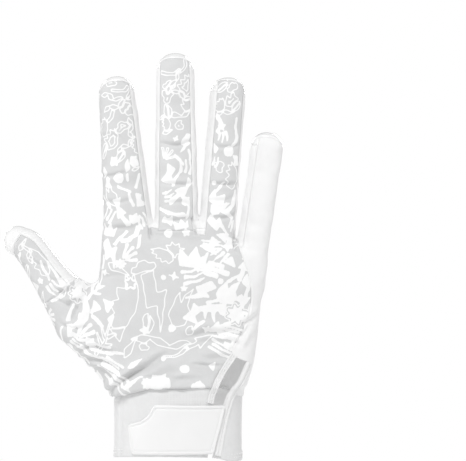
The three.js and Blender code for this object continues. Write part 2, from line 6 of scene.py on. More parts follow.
import math
import bpy
import numpy as np
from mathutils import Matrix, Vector


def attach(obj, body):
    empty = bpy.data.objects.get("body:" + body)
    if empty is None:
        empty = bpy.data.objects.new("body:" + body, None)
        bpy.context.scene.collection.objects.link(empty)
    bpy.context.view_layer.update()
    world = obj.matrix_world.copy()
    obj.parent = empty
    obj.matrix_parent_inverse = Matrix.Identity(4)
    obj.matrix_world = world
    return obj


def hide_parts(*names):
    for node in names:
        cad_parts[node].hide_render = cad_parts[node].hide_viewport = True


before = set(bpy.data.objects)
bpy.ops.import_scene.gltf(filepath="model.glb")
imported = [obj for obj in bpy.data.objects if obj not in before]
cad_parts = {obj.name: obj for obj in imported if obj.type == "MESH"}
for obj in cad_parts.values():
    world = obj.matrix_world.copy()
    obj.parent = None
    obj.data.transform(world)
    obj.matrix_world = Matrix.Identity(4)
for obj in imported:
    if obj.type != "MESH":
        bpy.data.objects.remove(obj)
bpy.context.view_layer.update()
print("frame loaded:", len(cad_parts), "nodes")

glove = {
    "cuffBreadth": 74.2, "cuffDepth": 50.0, "cuffHeight": 37.0,
    "handBreadth": 93.0, "palmHeight": 97.0, "palmThickness": 32.0,
    "fingerLength": 99.0, "fingerBreadth": 22.6, "fingerDepth": 19.6,
    "thumbBreadth": 19.6, "thumbDepth": 18.6,
    "wall": 1.1,            # thickness of the fabric
    "step": 1.1,            # coarse mesh size; edges of printed fabric and seams are halved
    "onCut": .05,           # a point this near a cut lies on it
    "longEdge": 1.35,       # an edge is halved when it is this much longer than wanted
    "fingerBlend": 5.0, "thumbBlend": 9.0, "webBlend": 3.0, "crownBlend": 2.5, "webRound": 2.0,
    # a section's power: 2 is an ellipse, more is squarer
    "handPower": 2.3, "cuffPower": 2.15, "webPower": 2.2, "limbPower": 2.1,
    "cuffPrint": .9, "fingerTaper": .9, "webFall": .2,
}

# Every row of the limbs' tables is a section, in shares of the sizes above
# up, fall to the right, wrist's share, left, right, back, palm, forward, right end of the print
handRows = np.array([
    (0, 0, .86, -.5, .5, .8, .8, 0, .8), (.04, 0, .6, -.5, .5, .85, .78, 0, .8),
    (.1, 0, .35, -.54, .486, .7, .73, .01, .8), (.17, 0, .15, -.585, .484, .71, .69, .02, .78),
    (.25, 0, .05, -.642, .488, .655, .66, .03, .74), (.34, 0, 0, -.715, .495, .63, .64, .04, .83),
    (.44, 0, 0, -.66, .505, .6, .62, .04, .87), (.55, .01, 0, -.56, .516, .57, .58, .03, .89),
    (.65, .03, 0, -.5, .526, .544, .54, .01, .86), (.77, .06, 0, -.479, .536, .516, .51, 0, .8),
    (.87, .1, 0, -.467, .54, .47, .47, -.01, .74), (.94, .13, 0, -.456, .53, .39, .39, -.02, .72),
    (.985, .14, 0, -.436, .51, .22, .22, -.02, .72)])

# up, breadth, depth
cuffRows = np.array([(-.4, 1, 1), (.14, 1, 1), (.5, .995, 1), (.84, 1.005, 1.005)])

# rootAcross, rootUp, tipAcross, tipUp, rootWide, tipWide, deep, rootForward, tipForward
fingerRows = {
    "index": (-.291, .835, -.392, .866, 1.33, .86, .97, -.02, .06),
    "middle": (-.007, .835, -.018, 1, 1.17, .95, 1.02, -.05, .02),
    "ring": (.228, .775, .318, .86, .97, .91, .97, -.02, .09),
    "little": (.43, .65, .57, .54, .84, .82, .88, .08, .22),
}
# along the finger, wide, back
jointRows = np.array([
    (-.3, 1, 1), (0, 1, 1), (.2, .99, 1), (.33, .99, 1.03), (.38, .985, .95), (.44, 1, 1.03),
    (.62, .99, 1), (.72, .985, .96), (.78, 1, 1.02), (.9, 1, 1), (1.2, 1, 1)])
# left finger, right finger, up
webRows = {
    "index_middle": ("index", "middle", 1), "middle_ring": ("middle", "ring", 1.015),
    "ring_little": ("ring", "little", .887),
}
# down from a web's top, deep
webDepths = np.array([(0, .3), (.015, .62), (.05, .85), (.2, 1)])
# across, up, wide, deep, forward
thumbRows = np.array([
    (-.37, .22, 1.15, 1.3, .04), (-.575, .415, 1.62, 1.6, .08), (-.655, .512, 1.6, 1.46, .11),
    (-.731, .596, 1.3, 1.25, .14), (-.804, .689, 1.1, 1.1, .165), (-.878, .79, 1, 1, .19),
    (-.938, .862, .98, .94, .205), (-1.003, .9, .87, .86, .22)])


# Rows resampled on cubic curves through them; the slope at a row is that between its two neighbours
def smoothRows(keys, rows, count=600):
    keys, rows = np.asarray(keys, float), np.asarray(rows, float)
    slope = np.gradient(rows, keys, axis=0, edge_order=1)
    slope[1:-1] = (rows[2:] - rows[:-2]) / (keys[2:] - keys[:-2])[:, None]
    at = np.linspace(keys[0], keys[-1], count)
    low = np.clip(np.searchsorted(keys, at, "right") - 1, 0, len(keys) - 2)
    span = (keys[low + 1] - keys[low])[:, None]
    t = (at - keys[low])[:, None] / span
    return at, ((2 * t**3 - 3 * t**2 + 1) * rows[low] + (t**3 - 2 * t**2 + t) * span * slope[low]
                + (3 * t**2 - 2 * t**3) * rows[low + 1] + (t**3 - t**2) * span * slope[low + 1])


# Every column of a resampled table at given places
def readRows(table, at):
    keys, rows = table
    return [np.interp(at, keys, column) for column in rows.T]


# First-order distance to a rounded section: the power mean of the point's shares less one, over its slope
def sectionDistance(a, b, half, reach, power, ahead=0.0, cap=1.0):
    sa, sb, sc = np.abs(a) / half, np.abs(b) / reach, np.maximum(ahead, 0) / cap
    mean = np.maximum(sa**power + sb**power + sc**power, 1e-9) ** (1 / power)
    slope = np.sqrt((sa ** (power - 1) / half) ** 2 + (sb ** (power - 1) / reach) ** 2
                    + (sc ** (power - 1) / cap) ** 2)
    return (mean - 1) * mean ** (power - 1) / np.maximum(slope, 1e-6)


# A value part of the way from a to b
def lerp(a, b, t):
    return a + (b - a) * t


# The lesser of two distances, rounded off over a width k
def smoothMin(a, b, k):
    h = np.maximum(k - np.abs(a - b), 0) / k
    return np.minimum(a, b) - h * h * k / 4


def smoothMax(a, b, k):
    return -smoothMin(-a, -b, k)


# Sections of the cuff and hand: level, middle, tilt, half breadth, forward, back, palm, power and print. The
# wrist's share leads from the hand's own sizes to the cuff's
def trunkTable():
    g = glove
    up, fall, wrist, left, right, back, palm, forward, printed = handRows.T
    left = lerp(left * g["handBreadth"], -g["cuffBreadth"] / 2, wrist)
    right = lerp(right * g["handBreadth"], g["cuffBreadth"] / 2, wrist)
    low = -fall * g["palmHeight"]
    hand = np.stack([
        g["cuffHeight"] + up * g["palmHeight"] + low / 2, (left + right) / 2, low / (right - left),
        np.hypot(right - left, low) / 2, forward * g["palmThickness"],
        lerp(back * g["palmThickness"], g["cuffDepth"] / 2, wrist),
        lerp(palm * g["palmThickness"], g["cuffDepth"] / 2, wrist),
        np.full(len(left), g["handPower"]), printed], axis=1)
    nil = np.zeros(len(cuffRows))
    level, breadth, depth = cuffRows.T
    cuff = np.stack([
        level * g["cuffHeight"], nil, nil, breadth * g["cuffBreadth"] / 2, nil, depth * g["cuffDepth"] / 2,
        depth * g["cuffDepth"] / 2, nil + g["cuffPower"], nil + g["cuffPrint"]], axis=1)
    rows = np.vstack([cuff, hand])
    return smoothRows(rows[:, 0], rows[:, 1:])


trunkSmooth = trunkTable()
crownLevel = trunkSmooth[0][-1]


# The palm and wrist: a point's own section is the one whose tilted plane it lies in
def trunkAt(p):
    level = p[:, 2]
    for _ in range(3):
        x, tilt = readRows((trunkSmooth[0], trunkSmooth[1][:, :2]), level)
        level = p[:, 2] - (p[:, 0] - x) * tilt
    x, tilt, half, mid, back, palm, power, printed = readRows(trunkSmooth, level)
    a = (p[:, 0] - x) * np.sqrt(1 + tilt**2)
    b = p[:, 1] - mid
    away = sectionDistance(a, b, half, np.where(b < 0, back, palm), power)
    away = smoothMax(away, level - crownLevel, glove["crownBlend"])
    return {"away": away, "s": level, "a": a, "half": half, "mid": mid, "print": printed}


jointsSmooth = smoothRows(jointRows[:, 0], jointRows[:, 1:])


# A finger's root in X and Z, the way it points, and its length
def fingerAxis(name):
    g, f = glove, fingerRows[name]
    root = np.array([f[0] * g["handBreadth"], g["cuffHeight"] + f[1] * g["palmHeight"]])
    tip = np.array([f[2] * g["handBreadth"], g["cuffHeight"] + g["palmHeight"] + f[3] * g["fingerLength"]])
    length = np.hypot(*(tip - root))
    return root, (tip - root) / length, length


# A finger's middle in depth bends forward by the square of the way along it
def fingerMiddle(name, along):
    rootForward, tipForward = fingerRows[name][7:]
    return (rootForward + (tipForward - rootForward) * np.clip(along, 0, 1) ** 2) * glove["palmThickness"]


# A finger: a rounded section along a straight axis in X and Z
def fingerAt(name, p):
    g, f = glove, fingerRows[name]
    root, way, length = fingerAxis(name)
    dx, dz = p[:, 0] - root[0], p[:, 2] - root[1]
    s = dx * way[0] + dz * way[1]
    a = dx * way[1] - dz * way[0]
    along = s / length
    wide, backSwell = readRows(jointsSmooth, along)
    inside = np.clip(along, -.3, 1)
    half = lerp(f[4], f[5], inside) * g["fingerBreadth"] / 2
    mid = fingerMiddle(name, along)
    deep = f[6] * g["fingerDepth"] * lerp(1, g["fingerTaper"], inside) / 2
    tipHalf = lerp(f[4], f[5], 1) * g["fingerBreadth"] / 2
    b = p[:, 1] - mid
    ahead = np.where(s > 0, s - (length - tipHalf), -s)
    reach = deep * np.where(b < 0, backSwell, 1)
    away = sectionDistance(a, b, half * wide, reach, g["limbPower"], ahead, tipHalf)
    return {"away": away, "s": s, "a": a, "half": half, "mid": mid, "length": length}


# The thumb's curve in X and Z with its half breadth, half depth and middle, over the length run along it
def thumbCurve():
    g = glove
    across, up, wide, deep, forward = thumbRows.T
    rows = np.stack([across * g["handBreadth"], g["cuffHeight"] + up * g["palmHeight"],
                     wide * g["thumbBreadth"] / 2, deep * g["thumbDepth"] / 2,
                     forward * g["palmThickness"]], axis=1)
    arc = np.concatenate([[0], np.cumsum(np.hypot(*np.diff(rows[:, :2], axis=0).T))])
    at, fine = smoothRows(arc, rows, 140)
    way = np.gradient(fine[:, :2], at, axis=0)
    way /= np.hypot(way[:, 0], way[:, 1])[:, None]
    return at, fine, way, arc


thumbArc, thumbFine, thumbWay, thumbRowArc = thumbCurve()
batch = 40000  # points taken at a time, to spare memory


# The thumb: a rounded section along a curve; a point belongs to the nearest place on the curve
def thumbAt(p):
    near = np.empty(len(p), int)
    for start in range(0, len(p), batch):
        part = p[start:start + batch]
        dx, dz = part[:, 0, None] - thumbFine[None, :, 0], part[:, 2, None] - thumbFine[None, :, 1]
        near[start:start + batch] = np.argmin(dx**2 + dz**2, axis=1)
    dx, dz = p[:, 0] - thumbFine[near, 0], p[:, 2] - thumbFine[near, 1]
    s = thumbArc[near] + dx * thumbWay[near, 0] + dz * thumbWay[near, 1]
    a = dx * thumbWay[near, 1] - dz * thumbWay[near, 0]
    half, deep, mid = readRows((thumbArc, thumbFine[:, 2:]), s)
    end = thumbArc[-1]
    ahead, cap = np.where(s > end / 2, s - end, -s), np.where(s > end / 2, thumbFine[-1, 2], half)
    away = sectionDistance(a, p[:, 1] - mid, half, deep, glove["limbPower"], ahead, cap)
    return {"away": away, "s": s, "a": a, "half": half, "mid": mid}


# The web between two fingers: a rounded bar from axis to axis whose depth shrinks towards its top
def webAt(name, p):
    g = glove
    leftName, rightName, up = webRows[name]
    top = g["cuffHeight"] + up * g["palmHeight"]
    below = (top - p[:, 2]) / g["palmHeight"]
    edges = []
    for finger in (leftName, rightName):
        root, way, length = fingerAxis(finger)
        along = (p[:, 2] - root[1]) / (way[1] * length)
        edges.append((root[0] + way[0] / way[1] * (p[:, 2] - root[1]), fingerMiddle(finger, along)))
    (leftX, leftMid), (rightX, rightMid) = edges
    deep = np.interp(below, webDepths[:, 0], webDepths[:, 1]) * g["fingerDepth"] / 2
    away = sectionDistance(p[:, 0] - (leftX + rightX) / 2, p[:, 1] - (leftMid + rightMid) / 2,
                           (rightX - leftX) / 2, deep, g["webPower"])
    away = smoothMax(away, p[:, 2] - top, g["webRound"])
    return smoothMax(away, (top - g["webFall"] * g["palmHeight"]) - p[:, 2], g["webRound"])


# The box round each limb, so that none is worked out where it can't matter: from and to in X, in Y, in Z
limbBoxes = {
    "trunk": (-80, 64, -34, 34, -20, 145), "thumb": (-112, -14, -24, 34, 44, 142),
    "index": (-56, -2, -20, 20, 100, 230), "middle": (-24, 22, -22, 20, 100, 244),
    "ring": (2, 48, -20, 22, 96, 230), "little": (24, 72, -18, 26, 86, 196),
    "index_middle": (-40, 14, -20, 20, 108, 138), "middle_ring": (-12, 36, -20, 20, 108, 140),
    "ring_little": (12, 62, -20, 22, 96, 128),
}


# The points inside a limb's box
def inBox(name, p):
    low, high = np.reshape(limbBoxes[name], (3, 2)).T
    return np.flatnonzero(((p > low) & (p < high)).all(1))


# The whole hand: the trunk and its webs, joined smoothly to each limb, and the limbs to nothing else
def handDistance(p):
    body = np.full(len(p), 30.0)  # a place far from every limb
    near = inBox("trunk", p)
    body[near] = trunkAt(p[near])["away"]
    for name in webRows:
        near = inBox(name, p)
        body[near] = smoothMin(body[near], webAt(name, p[near]), glove["webBlend"])
    whole = body.copy()
    for name in fingerRows:
        near = inBox(name, p)
        joined = smoothMin(body[near], fingerAt(name, p[near])["away"], glove["fingerBlend"])
        whole[near] = np.minimum(whole[near], joined)
    near = inBox("thumb", p)
    joined = smoothMin(body[near], thumbAt(p[near])["away"], glove["thumbBlend"])
    whole[near] = np.minimum(whole[near], joined)
    return whole


# The slope of a field from its values a little to both sides along each axis
def gradientOf(field, p, h=.15):
    return np.stack([field(p + step) - field(p - step) for step in np.eye(3) * h], axis=1) / (2 * h)


# Points moved along the slope until the field is zero there
def settle(field, p, rounds=3, reach=.8):
    for _ in range(rounds):
        slope = gradientOf(field, p)
        move = field(p)[:, None] * slope / np.maximum((slope**2).sum(1), .2)[:, None]
        size = np.linalg.norm(move, axis=1)[:, None]
        p = p - move * np.minimum(1, reach / np.maximum(size, 1e-9))
    return p


# A closed surface through a grid of values: each mixed cell holds one point, the mean of its edge crossings,
# and each grid edge that changes sign joins the four cells round it
def surfaceNet(values, origin, step):
    inside = values < 0
    ends = (slice(None, -1), slice(1, None))
    corners = [inside[i, j, k] for i in ends for j in ends for k in ends]
    mixed = np.logical_or.reduce(corners) & ~np.logical_and.reduce(corners)
    cells = np.argwhere(mixed)
    index = np.full(mixed.shape, -1)
    index[mixed] = np.arange(len(cells))
    total, crossings = np.zeros((len(cells), 3)), np.zeros(len(cells))
    for axis in range(3):
        others = [k for k in range(3) if k != axis]
        for u in (0, 1):
            for v in (0, 1):
                corner = np.zeros(3, int)
                corner[others[0]], corner[others[1]] = u, v
                one = cells + corner
                two = one + np.eye(3, dtype=int)[axis]
                a, b = values[tuple(one.T)], values[tuple(two.T)]
                crossed = (a < 0) != (b < 0)
                t = np.where(crossed, a / np.where(crossed, a - b, 1), 0)
                total += np.where(crossed[:, None], one + t[:, None] * np.eye(3)[axis], 0)
                crossings += crossed
    points = origin + step * total / crossings[:, None]
    quads = []
    for axis in range(3):
        u, v = (axis + 1) % 3, (axis + 2) % 3
        starts = np.moveaxis(inside, axis, 0)[:-1] != np.moveaxis(inside, axis, 0)[1:]
        edges = np.argwhere(np.moveaxis(starts, 0, axis))
        edges = edges[(edges[:, u] > 0) & (edges[:, v] > 0) & (edges[:, u] < inside.shape[u] - 1)
                      & (edges[:, v] < inside.shape[v] - 1)]
        ring = []
        for du, dv in ((1, 1), (0, 1), (0, 0), (1, 0)):
            cell = edges.copy()
            cell[:, u] -= du
            cell[:, v] -= dv
            ring.append(index[tuple(cell.T)])
        ring = np.stack(ring, axis=1)
        outward = inside[tuple(edges.T)]
        quads.append(np.where(outward[:, None], ring, ring[:, ::-1]))
    return points, np.vstack(quads)


# Quads as triangles, parted along the shorter diagonal
def asTriangles(points, quads):
    a, b, c, d = quads.T
    first = np.linalg.norm(points[a] - points[c], axis=1) <= np.linalg.norm(points[b] - points[d], axis=1)
    one = np.stack([a, b, np.where(first, c, d)], 1)
    two = np.stack([np.where(first, a, b), c, d], 1)
    return np.vstack([one, two])


# The edges as pairs of points, and the three of each triangle, the first from its first point to its second
def edgesOf(triangles):
    base = triangles.max() + 1
    pairs = np.sort(triangles[:, [0, 1, 1, 2, 2, 0]].reshape(-1, 2), axis=1)
    unique, where = np.unique(pairs[:, 0] * base + pairs[:, 1], return_inverse=True)
    return np.stack([unique // base, unique % base], 1), where.reshape(-1, 3)


# Each point moved halfway to the mean of its neighbours
def relax(points, triangles, share=.5):
    edges, _ = edgesOf(triangles)
    both = np.concatenate([edges, edges[:, ::-1]])
    count = np.bincount(both[:, 0], minlength=len(points))
    mean = np.stack([np.bincount(both[:, 0], points[both[:, 1], k], len(points)) for k in range(3)], 1)
    return lerp(points, mean / np.maximum(count, 1)[:, None], share)


# Triangles and their edges' middle points, turned so that the edge of a given number comes first
def turned(triangles, middle, first):
    order = (np.arange(3)[None] + first[:, None]) % 3
    return np.take_along_axis(triangles, order, 1), np.take_along_axis(middle, order, 1)


# Triangles parted where only the first edge has a middle point
def partOnce(t, mid):
    return [np.stack([t[:, 0], mid[:, 0], t[:, 2]], 1), np.stack([mid[:, 0], t[:, 1], t[:, 2]], 1)]


# Triangles parted where only the first edge has none
def partTwice(t, mid):
    return [np.stack([t[:, 2], mid[:, 2], mid[:, 1]], 1), np.stack([t[:, 0], t[:, 1], mid[:, 1]], 1),
            np.stack([t[:, 0], mid[:, 1], mid[:, 2]], 1)]


# Edges longer than wanted are halved, and each triangle is parted by how many of its edges are
def splitLong(points, triangles, wanted):
    edges, where = edgesOf(triangles)
    length = np.linalg.norm(points[edges[:, 0]] - points[edges[:, 1]], axis=1)
    halved = length > glove["longEdge"] * (wanted[edges[:, 0]] + wanted[edges[:, 1]]) / 2
    fresh = np.full(len(edges), -1)
    fresh[halved] = len(points) + np.arange(halved.sum())
    points = np.vstack([points, points[edges[halved]].mean(axis=1)])
    middle = fresh[where]
    split = middle >= 0
    number = split.sum(1)
    # turned so that the one halved edge, or the one whole edge, comes first
    first = np.where(number == 1, split.argmax(1), np.where(number == 2, (~split).argmax(1), 0))
    t, m = turned(triangles, middle, first)
    none, single, double, triple = (number == n for n in range(4))
    parts = [t[none], *partOnce(t[single], m[single]), *partTwice(t[double], m[double])]
    full, mid = t[triple], m[triple]
    parts += [np.stack([full[:, 0], mid[:, 0], mid[:, 2]], 1),
              np.stack([mid[:, 0], full[:, 1], mid[:, 1]], 1),
              np.stack([mid[:, 2], mid[:, 1], full[:, 2]], 1), mid]
    return points, np.vstack(parts)


# Each point's normal: the sum of the cross products of its triangles' sides
def normalsOf(points, triangles):
    a, b, c = (points[triangles[:, k]] for k in range(3))
    face = np.cross(b - a, c - a)
    total = np.stack([sum(np.bincount(triangles[:, k], share, len(points)) for k in range(3))
                      for share in face.T], 1)
    return total / np.maximum(np.linalg.norm(total, axis=1), 1e-12)[:, None]


# Splits a mesh where a value of its points is zero; the first part holds the points below zero. Every column
# of values is carried to the new points, which lie on the cut
def cutMesh(values, triangles, column):
    own = values[:, column]
    side = np.sign(np.where(np.abs(own) < glove["onCut"], 0, own)).astype(int)
    s = side[triangles]
    low, high = s.min(1), s.max(1)
    crossed = (low < 0) & (high > 0)
    part = triangles[crossed]
    edges, where = edgesOf(part)
    ends = side[edges]
    cut = ends[:, 0] * ends[:, 1] < 0
    v = values[edges[cut]]
    t = (v[:, 0, column] / (v[:, 0, column] - v[:, 1, column]))[:, None]
    added = lerp(v[:, 0], v[:, 1], t)
    added[:, column] = 0
    fresh = np.full(len(edges), -1)
    fresh[cut] = len(values) + np.arange(cut.sum())
    values = np.vstack([values, added])
    side = np.concatenate([side, np.zeros(cut.sum(), int)])
    mid = fresh[where]
    number = (mid >= 0).sum(1)
    two, one = number == 2, number == 1
    twice = partTwice(*turned(part[two], mid[two], (mid[two] < 0).argmax(1)))
    once = partOnce(*turned(part[one], mid[one], (mid[one] >= 0).argmax(1)))
    every = np.vstack([triangles[~crossed], *twice, *once])
    s = side[every]
    below = s.min(1) < 0
    flat = (s == 0).all(1)
    below |= flat & (values[every][:, :, column].sum(1) < 0)
    return values, every[below], every[~below]


# The points that triangles use, and the triangles numbered by them
def compact(values, triangles):
    used, where = np.unique(triangles, return_inverse=True)
    return values[used], where.reshape(-1, 3)


# Where the panels part; places across a limb are shares of its half breadth
seams = {
    "tipWrap": 3.0, "tipRound": 4.5, "webDepth": 4.0, "crownLap": 3.4, "gussetTip": 9.0, "gussetEdge": .4,
    "middleSeam": .105, "middleRoot": .9, "ringWrap": .6,
    "thumbFrom": 3, "thumbTo": 7, "thumbLeft": -1.3, "thumbRight": .5, "thumbRoot": 1.1, "thumbRound": .6,
    "printLeft": (-1.6, -1.12), "printLeftUp": .5,   # below and above that share of the palm's height
    "sideFrom": .6, "sideTo": 1.8, "sideRear": (.55, .9), "sideHeel": (.92, 1.05), "heelRise": 12,
    "slitAbove": 20.5, "slitSlant": 3.5, "slitFront": 2,
    "grooveDepth": .3, "grooveWidth": .45, "ridgeHeight": .2, "ridgeAt": 1.1, "ridgeWidth": .55,
    "fine": .55, "fineNear": 1.8, "printStep": .7, "printNear": .6,
}
# back from, back to, palm from, palm to
fingerSeams = {
    "index": (-1.3, .79, -1.3, .82), "middle": (-.8, .77, -.82, .82), "ring": (-.6, .9, -.84, .8),
    "little": (-.6, 1.8, -.84, .9),
}
# across, up
cuffSeamRows = np.array([(-.8, .89), (-.46, .93), (-.22, 1.05), (.24, 1.08), (.4, .99), (.6, .87), (.8, .82)])
# left, right, up
slitRows = np.array([(.225, .268, -.2), (.235, .278, 0), (.285, .384, .575), (.365, .5, .82), (.458, .56, 1)])
slitSmooth = smoothRows(slitRows[:, 2], slitRows[:, :2])
# turn from the little-finger side towards the palm, drop
hemRows = np.array([
    (0, .07), (.12, .01), (.2, -.03), (.32, .05), (.5, .03), (.68, -.02), (.84, 0), (.9, .07), (1, .07)])
hemSmooth = smoothRows(hemRows[:, 0], hemRows[:, 1:])


# How far the hem lies below the cuff's nominal end, for a share of the turn round the wrist
def hemDrop(turn):
    return np.interp(turn % 1, hemSmooth[0], hemSmooth[1][:, 0]) * glove["cuffHeight"]


# The slit's left and right edge at a height, its top, and how steeply the top falls to the right
def slitLines(z):
    top = glove["cuffHeight"] + seams["slitAbove"]
    up, rows = slitSmooth
    left = np.interp(z / top, up, rows[:, 0]) * glove["cuffBreadth"]
    right = np.interp(z / top, up, rows[:, 1]) * glove["cuffBreadth"]
    fall = (seams["slitSlant"] / (slitRows[-1, 1] - slitRows[-1, 0])) / glove["cuffBreadth"]
    return left, right, top, fall


# A panel is a field over the surface, below zero inside it. This one is a strip over a limb between two
# shares of its half breadth, two places along it, and on its front (-1) or rear (1); a rounded end falls
# back by round |a/half|^3 to its sides
def strip(c, y, left, right, low=None, high=None, side=0, round=0):
    d = np.maximum(left * c["half"] - c["a"], c["a"] - right * c["half"])
    if low is not None:
        d = np.maximum(d, low - c["s"])
    if high is not None:
        d = np.maximum(d, c["s"] + round * np.abs(c["a"] / c["half"])**3 - high)
    if side:
        d = np.maximum(d, (c["mid"] - y) * side)
    return d


# A finger's back from a place along it to a little short of the tip
def fingerBack(name, finger, y, low, wrap=1):
    left, right = fingerSeams[name][:2]
    high = finger[name]["length"] - seams["tipWrap"] * wrap
    return strip(finger[name], y, left, right, low, high, -1, seams["tipRound"])


# The strip between two fingers: above the web's floor, beyond a share of each finger's half breadth, short of
# the nearer finger's tip, and off the palm's strips
def gussetField(name, finger, y, z):
    g, e = glove, seams
    leftName, rightName, up = webRows[name]
    one, two = finger[leftName], finger[rightName]
    floor = g["cuffHeight"] + up * g["palmHeight"] - e["webDepth"]
    beyond = np.where(one["away"] < two["away"], one["s"] - one["length"], two["s"] - two["length"])
    parts = [floor - z, e["gussetEdge"] * one["half"] - one["a"], two["a"] + e["gussetEdge"] * two["half"],
             beyond + e["gussetTip"]]
    for key in (leftName, rightName):
        palmFrom, palmTo = fingerSeams[key][2:]
        parts.append(-strip(finger[key], y, palmFrom, palmTo, 0, finger[key]["length"], 1))
    return np.maximum.reduce(parts)


# Every panel's field, in the order in which they are cut
def panelFields(p):
    g, e = glove, seams
    y, z = p[:, 1], p[:, 2]
    trunk, thumb = trunkAt(p), thumbAt(p)
    finger = {name: fingerAt(name, p) for name in fingerRows}
    across = p[:, 0] / g["cuffBreadth"]
    left, right, top, fall = slitLines(z)
    topLine = top - (p[:, 0] - slitRows[-1, 0] * g["cuffBreadth"]) * fall
    turn = np.arctan2(y / g["cuffDepth"], across) / (2 * math.pi)
    base = e["middleSeam"] * finger["middle"]["length"]
    printLeft = np.where(z > g["cuffHeight"] + g["palmHeight"] * e["printLeftUp"], *e["printLeft"][::-1])
    aboveRoot = z - fingerAxis("little")[0][1]
    rear = lerp(*e["sideRear"], np.clip(aboveRoot / g["fingerBreadth"], 0, 1))
    heel = lerp(*e["sideHeel"], np.clip(aboveRoot / e["heelRise"], 0, 1))
    littleEnd = finger["little"]["length"] - e["tipWrap"]
    fields = {
        "cuff": z - np.interp(across, cuffSeamRows[:, 0], cuffSeamRows[:, 1]) * g["cuffHeight"],
        "slit": np.maximum.reduce([left - p[:, 0], p[:, 0] - right, z - topLine, y + e["slitFront"]]),
        "hem": -z - hemDrop(turn),
        "middle_finger_back": fingerBack("middle", finger, y, base),
        "thumb_back": strip(thumb, y, e["thumbLeft"], e["thumbRight"], thumbRowArc[e["thumbFrom"]],
                            thumbRowArc[e["thumbTo"]], -1, e["tipRound"] * e["thumbRound"]),
        "back_panel": np.minimum.reduce([
            strip(trunk, y, printLeft, trunk["print"], None, crownLevel + e["crownLap"], -1),
            strip(thumb, y, e["thumbLeft"], e["thumbRoot"], 0, thumbRowArc[e["thumbFrom"]], -1),
            strip(finger["middle"], y, -e["middleRoot"], e["middleRoot"], 0, base, -1),
            fingerBack("index", finger, y, 0), fingerBack("ring", finger, y, 0, e["ringWrap"])]),
        "side_panel": np.minimum.reduce([
            strip(trunk, y, e["sideFrom"], e["sideTo"], None, crownLevel, -1),
            strip(trunk, y, heel, e["sideTo"], None, crownLevel, 1),
            strip(finger["little"], y, rear, e["sideTo"], 0, littleEnd, 1),
            fingerBack("little", finger, y, 0)]),
    }
    for name in webRows:
        fields["gusset_" + name] = gussetField(name, finger, y, z)
    return fields


# How fast a value changes along the surface: the slope of each triangle, averaged round each point
def surfaceSlope(points, triangles, value):
    a, b, c = (points[triangles[:, k]] for k in range(3))
    n = np.cross(b - a, c - a)
    area = np.maximum((n**2).sum(1), 1e-12)[:, None]
    v = value[triangles]
    slope = v[:, :1] * np.cross(n, c - b) + v[:, 1:2] * np.cross(n, a - c) + v[:, 2:] * np.cross(n, b - a)
    size = np.linalg.norm(slope / area, axis=1)
    count = np.bincount(triangles.ravel(), minlength=len(points))
    return sum(np.bincount(triangles[:, k], size, len(points)) for k in range(3)) / np.maximum(count, 1)


# The grid's two corners, and how far inside the surface its net is taken
space = {"low": (-106.0, -31, -12), "high": (66.0, 30, 238), "inset": 1.5}


# The net of the grid, moved onto the surface and evened out
def handSurface():
    axes = [np.arange(low, high, glove["step"]) for low, high in zip(space["low"], space["high"])]
    grid = np.stack(np.meshgrid(*axes, indexing="ij"), -1).reshape(-1, 3)
    values = handDistance(grid).reshape([len(a) for a in axes]) + space["inset"]
    points, quads = surfaceNet(values, np.array(space["low"]), glove["step"])
    points = settle(handDistance, points, 4)
    triangles = asTriangles(points, quads)
    for _ in range(2):
        points = settle(handDistance, relax(points, triangles), 2)
    print("bare surface:", len(points), "points")
    return points, triangles


# Shorter edges where the fabric is printed, and the shortest along the seams
def refined(points, triangles):
    fields = panelFields(points)
    nearest = np.minimum.reduce([np.abs(field) for field in fields.values()])
    printed = np.minimum.reduce([fields[n] for n in ("middle_finger_back", "thumb_back", "back_panel")])
    printed = np.maximum(printed, -fields["cuff"])
    wanted = np.where(printed < seams["printNear"], seams["printStep"], glove["step"])
    wanted = np.where(nearest < seams["fineNear"], seams["fine"], wanted)
    points, triangles = splitLong(points, triangles, wanted)
    return settle(handDistance, points, 1), triangles


points, triangles = refined(*handSurface())
print("fine surface:", len(points), "points,", len(triangles), "triangles")


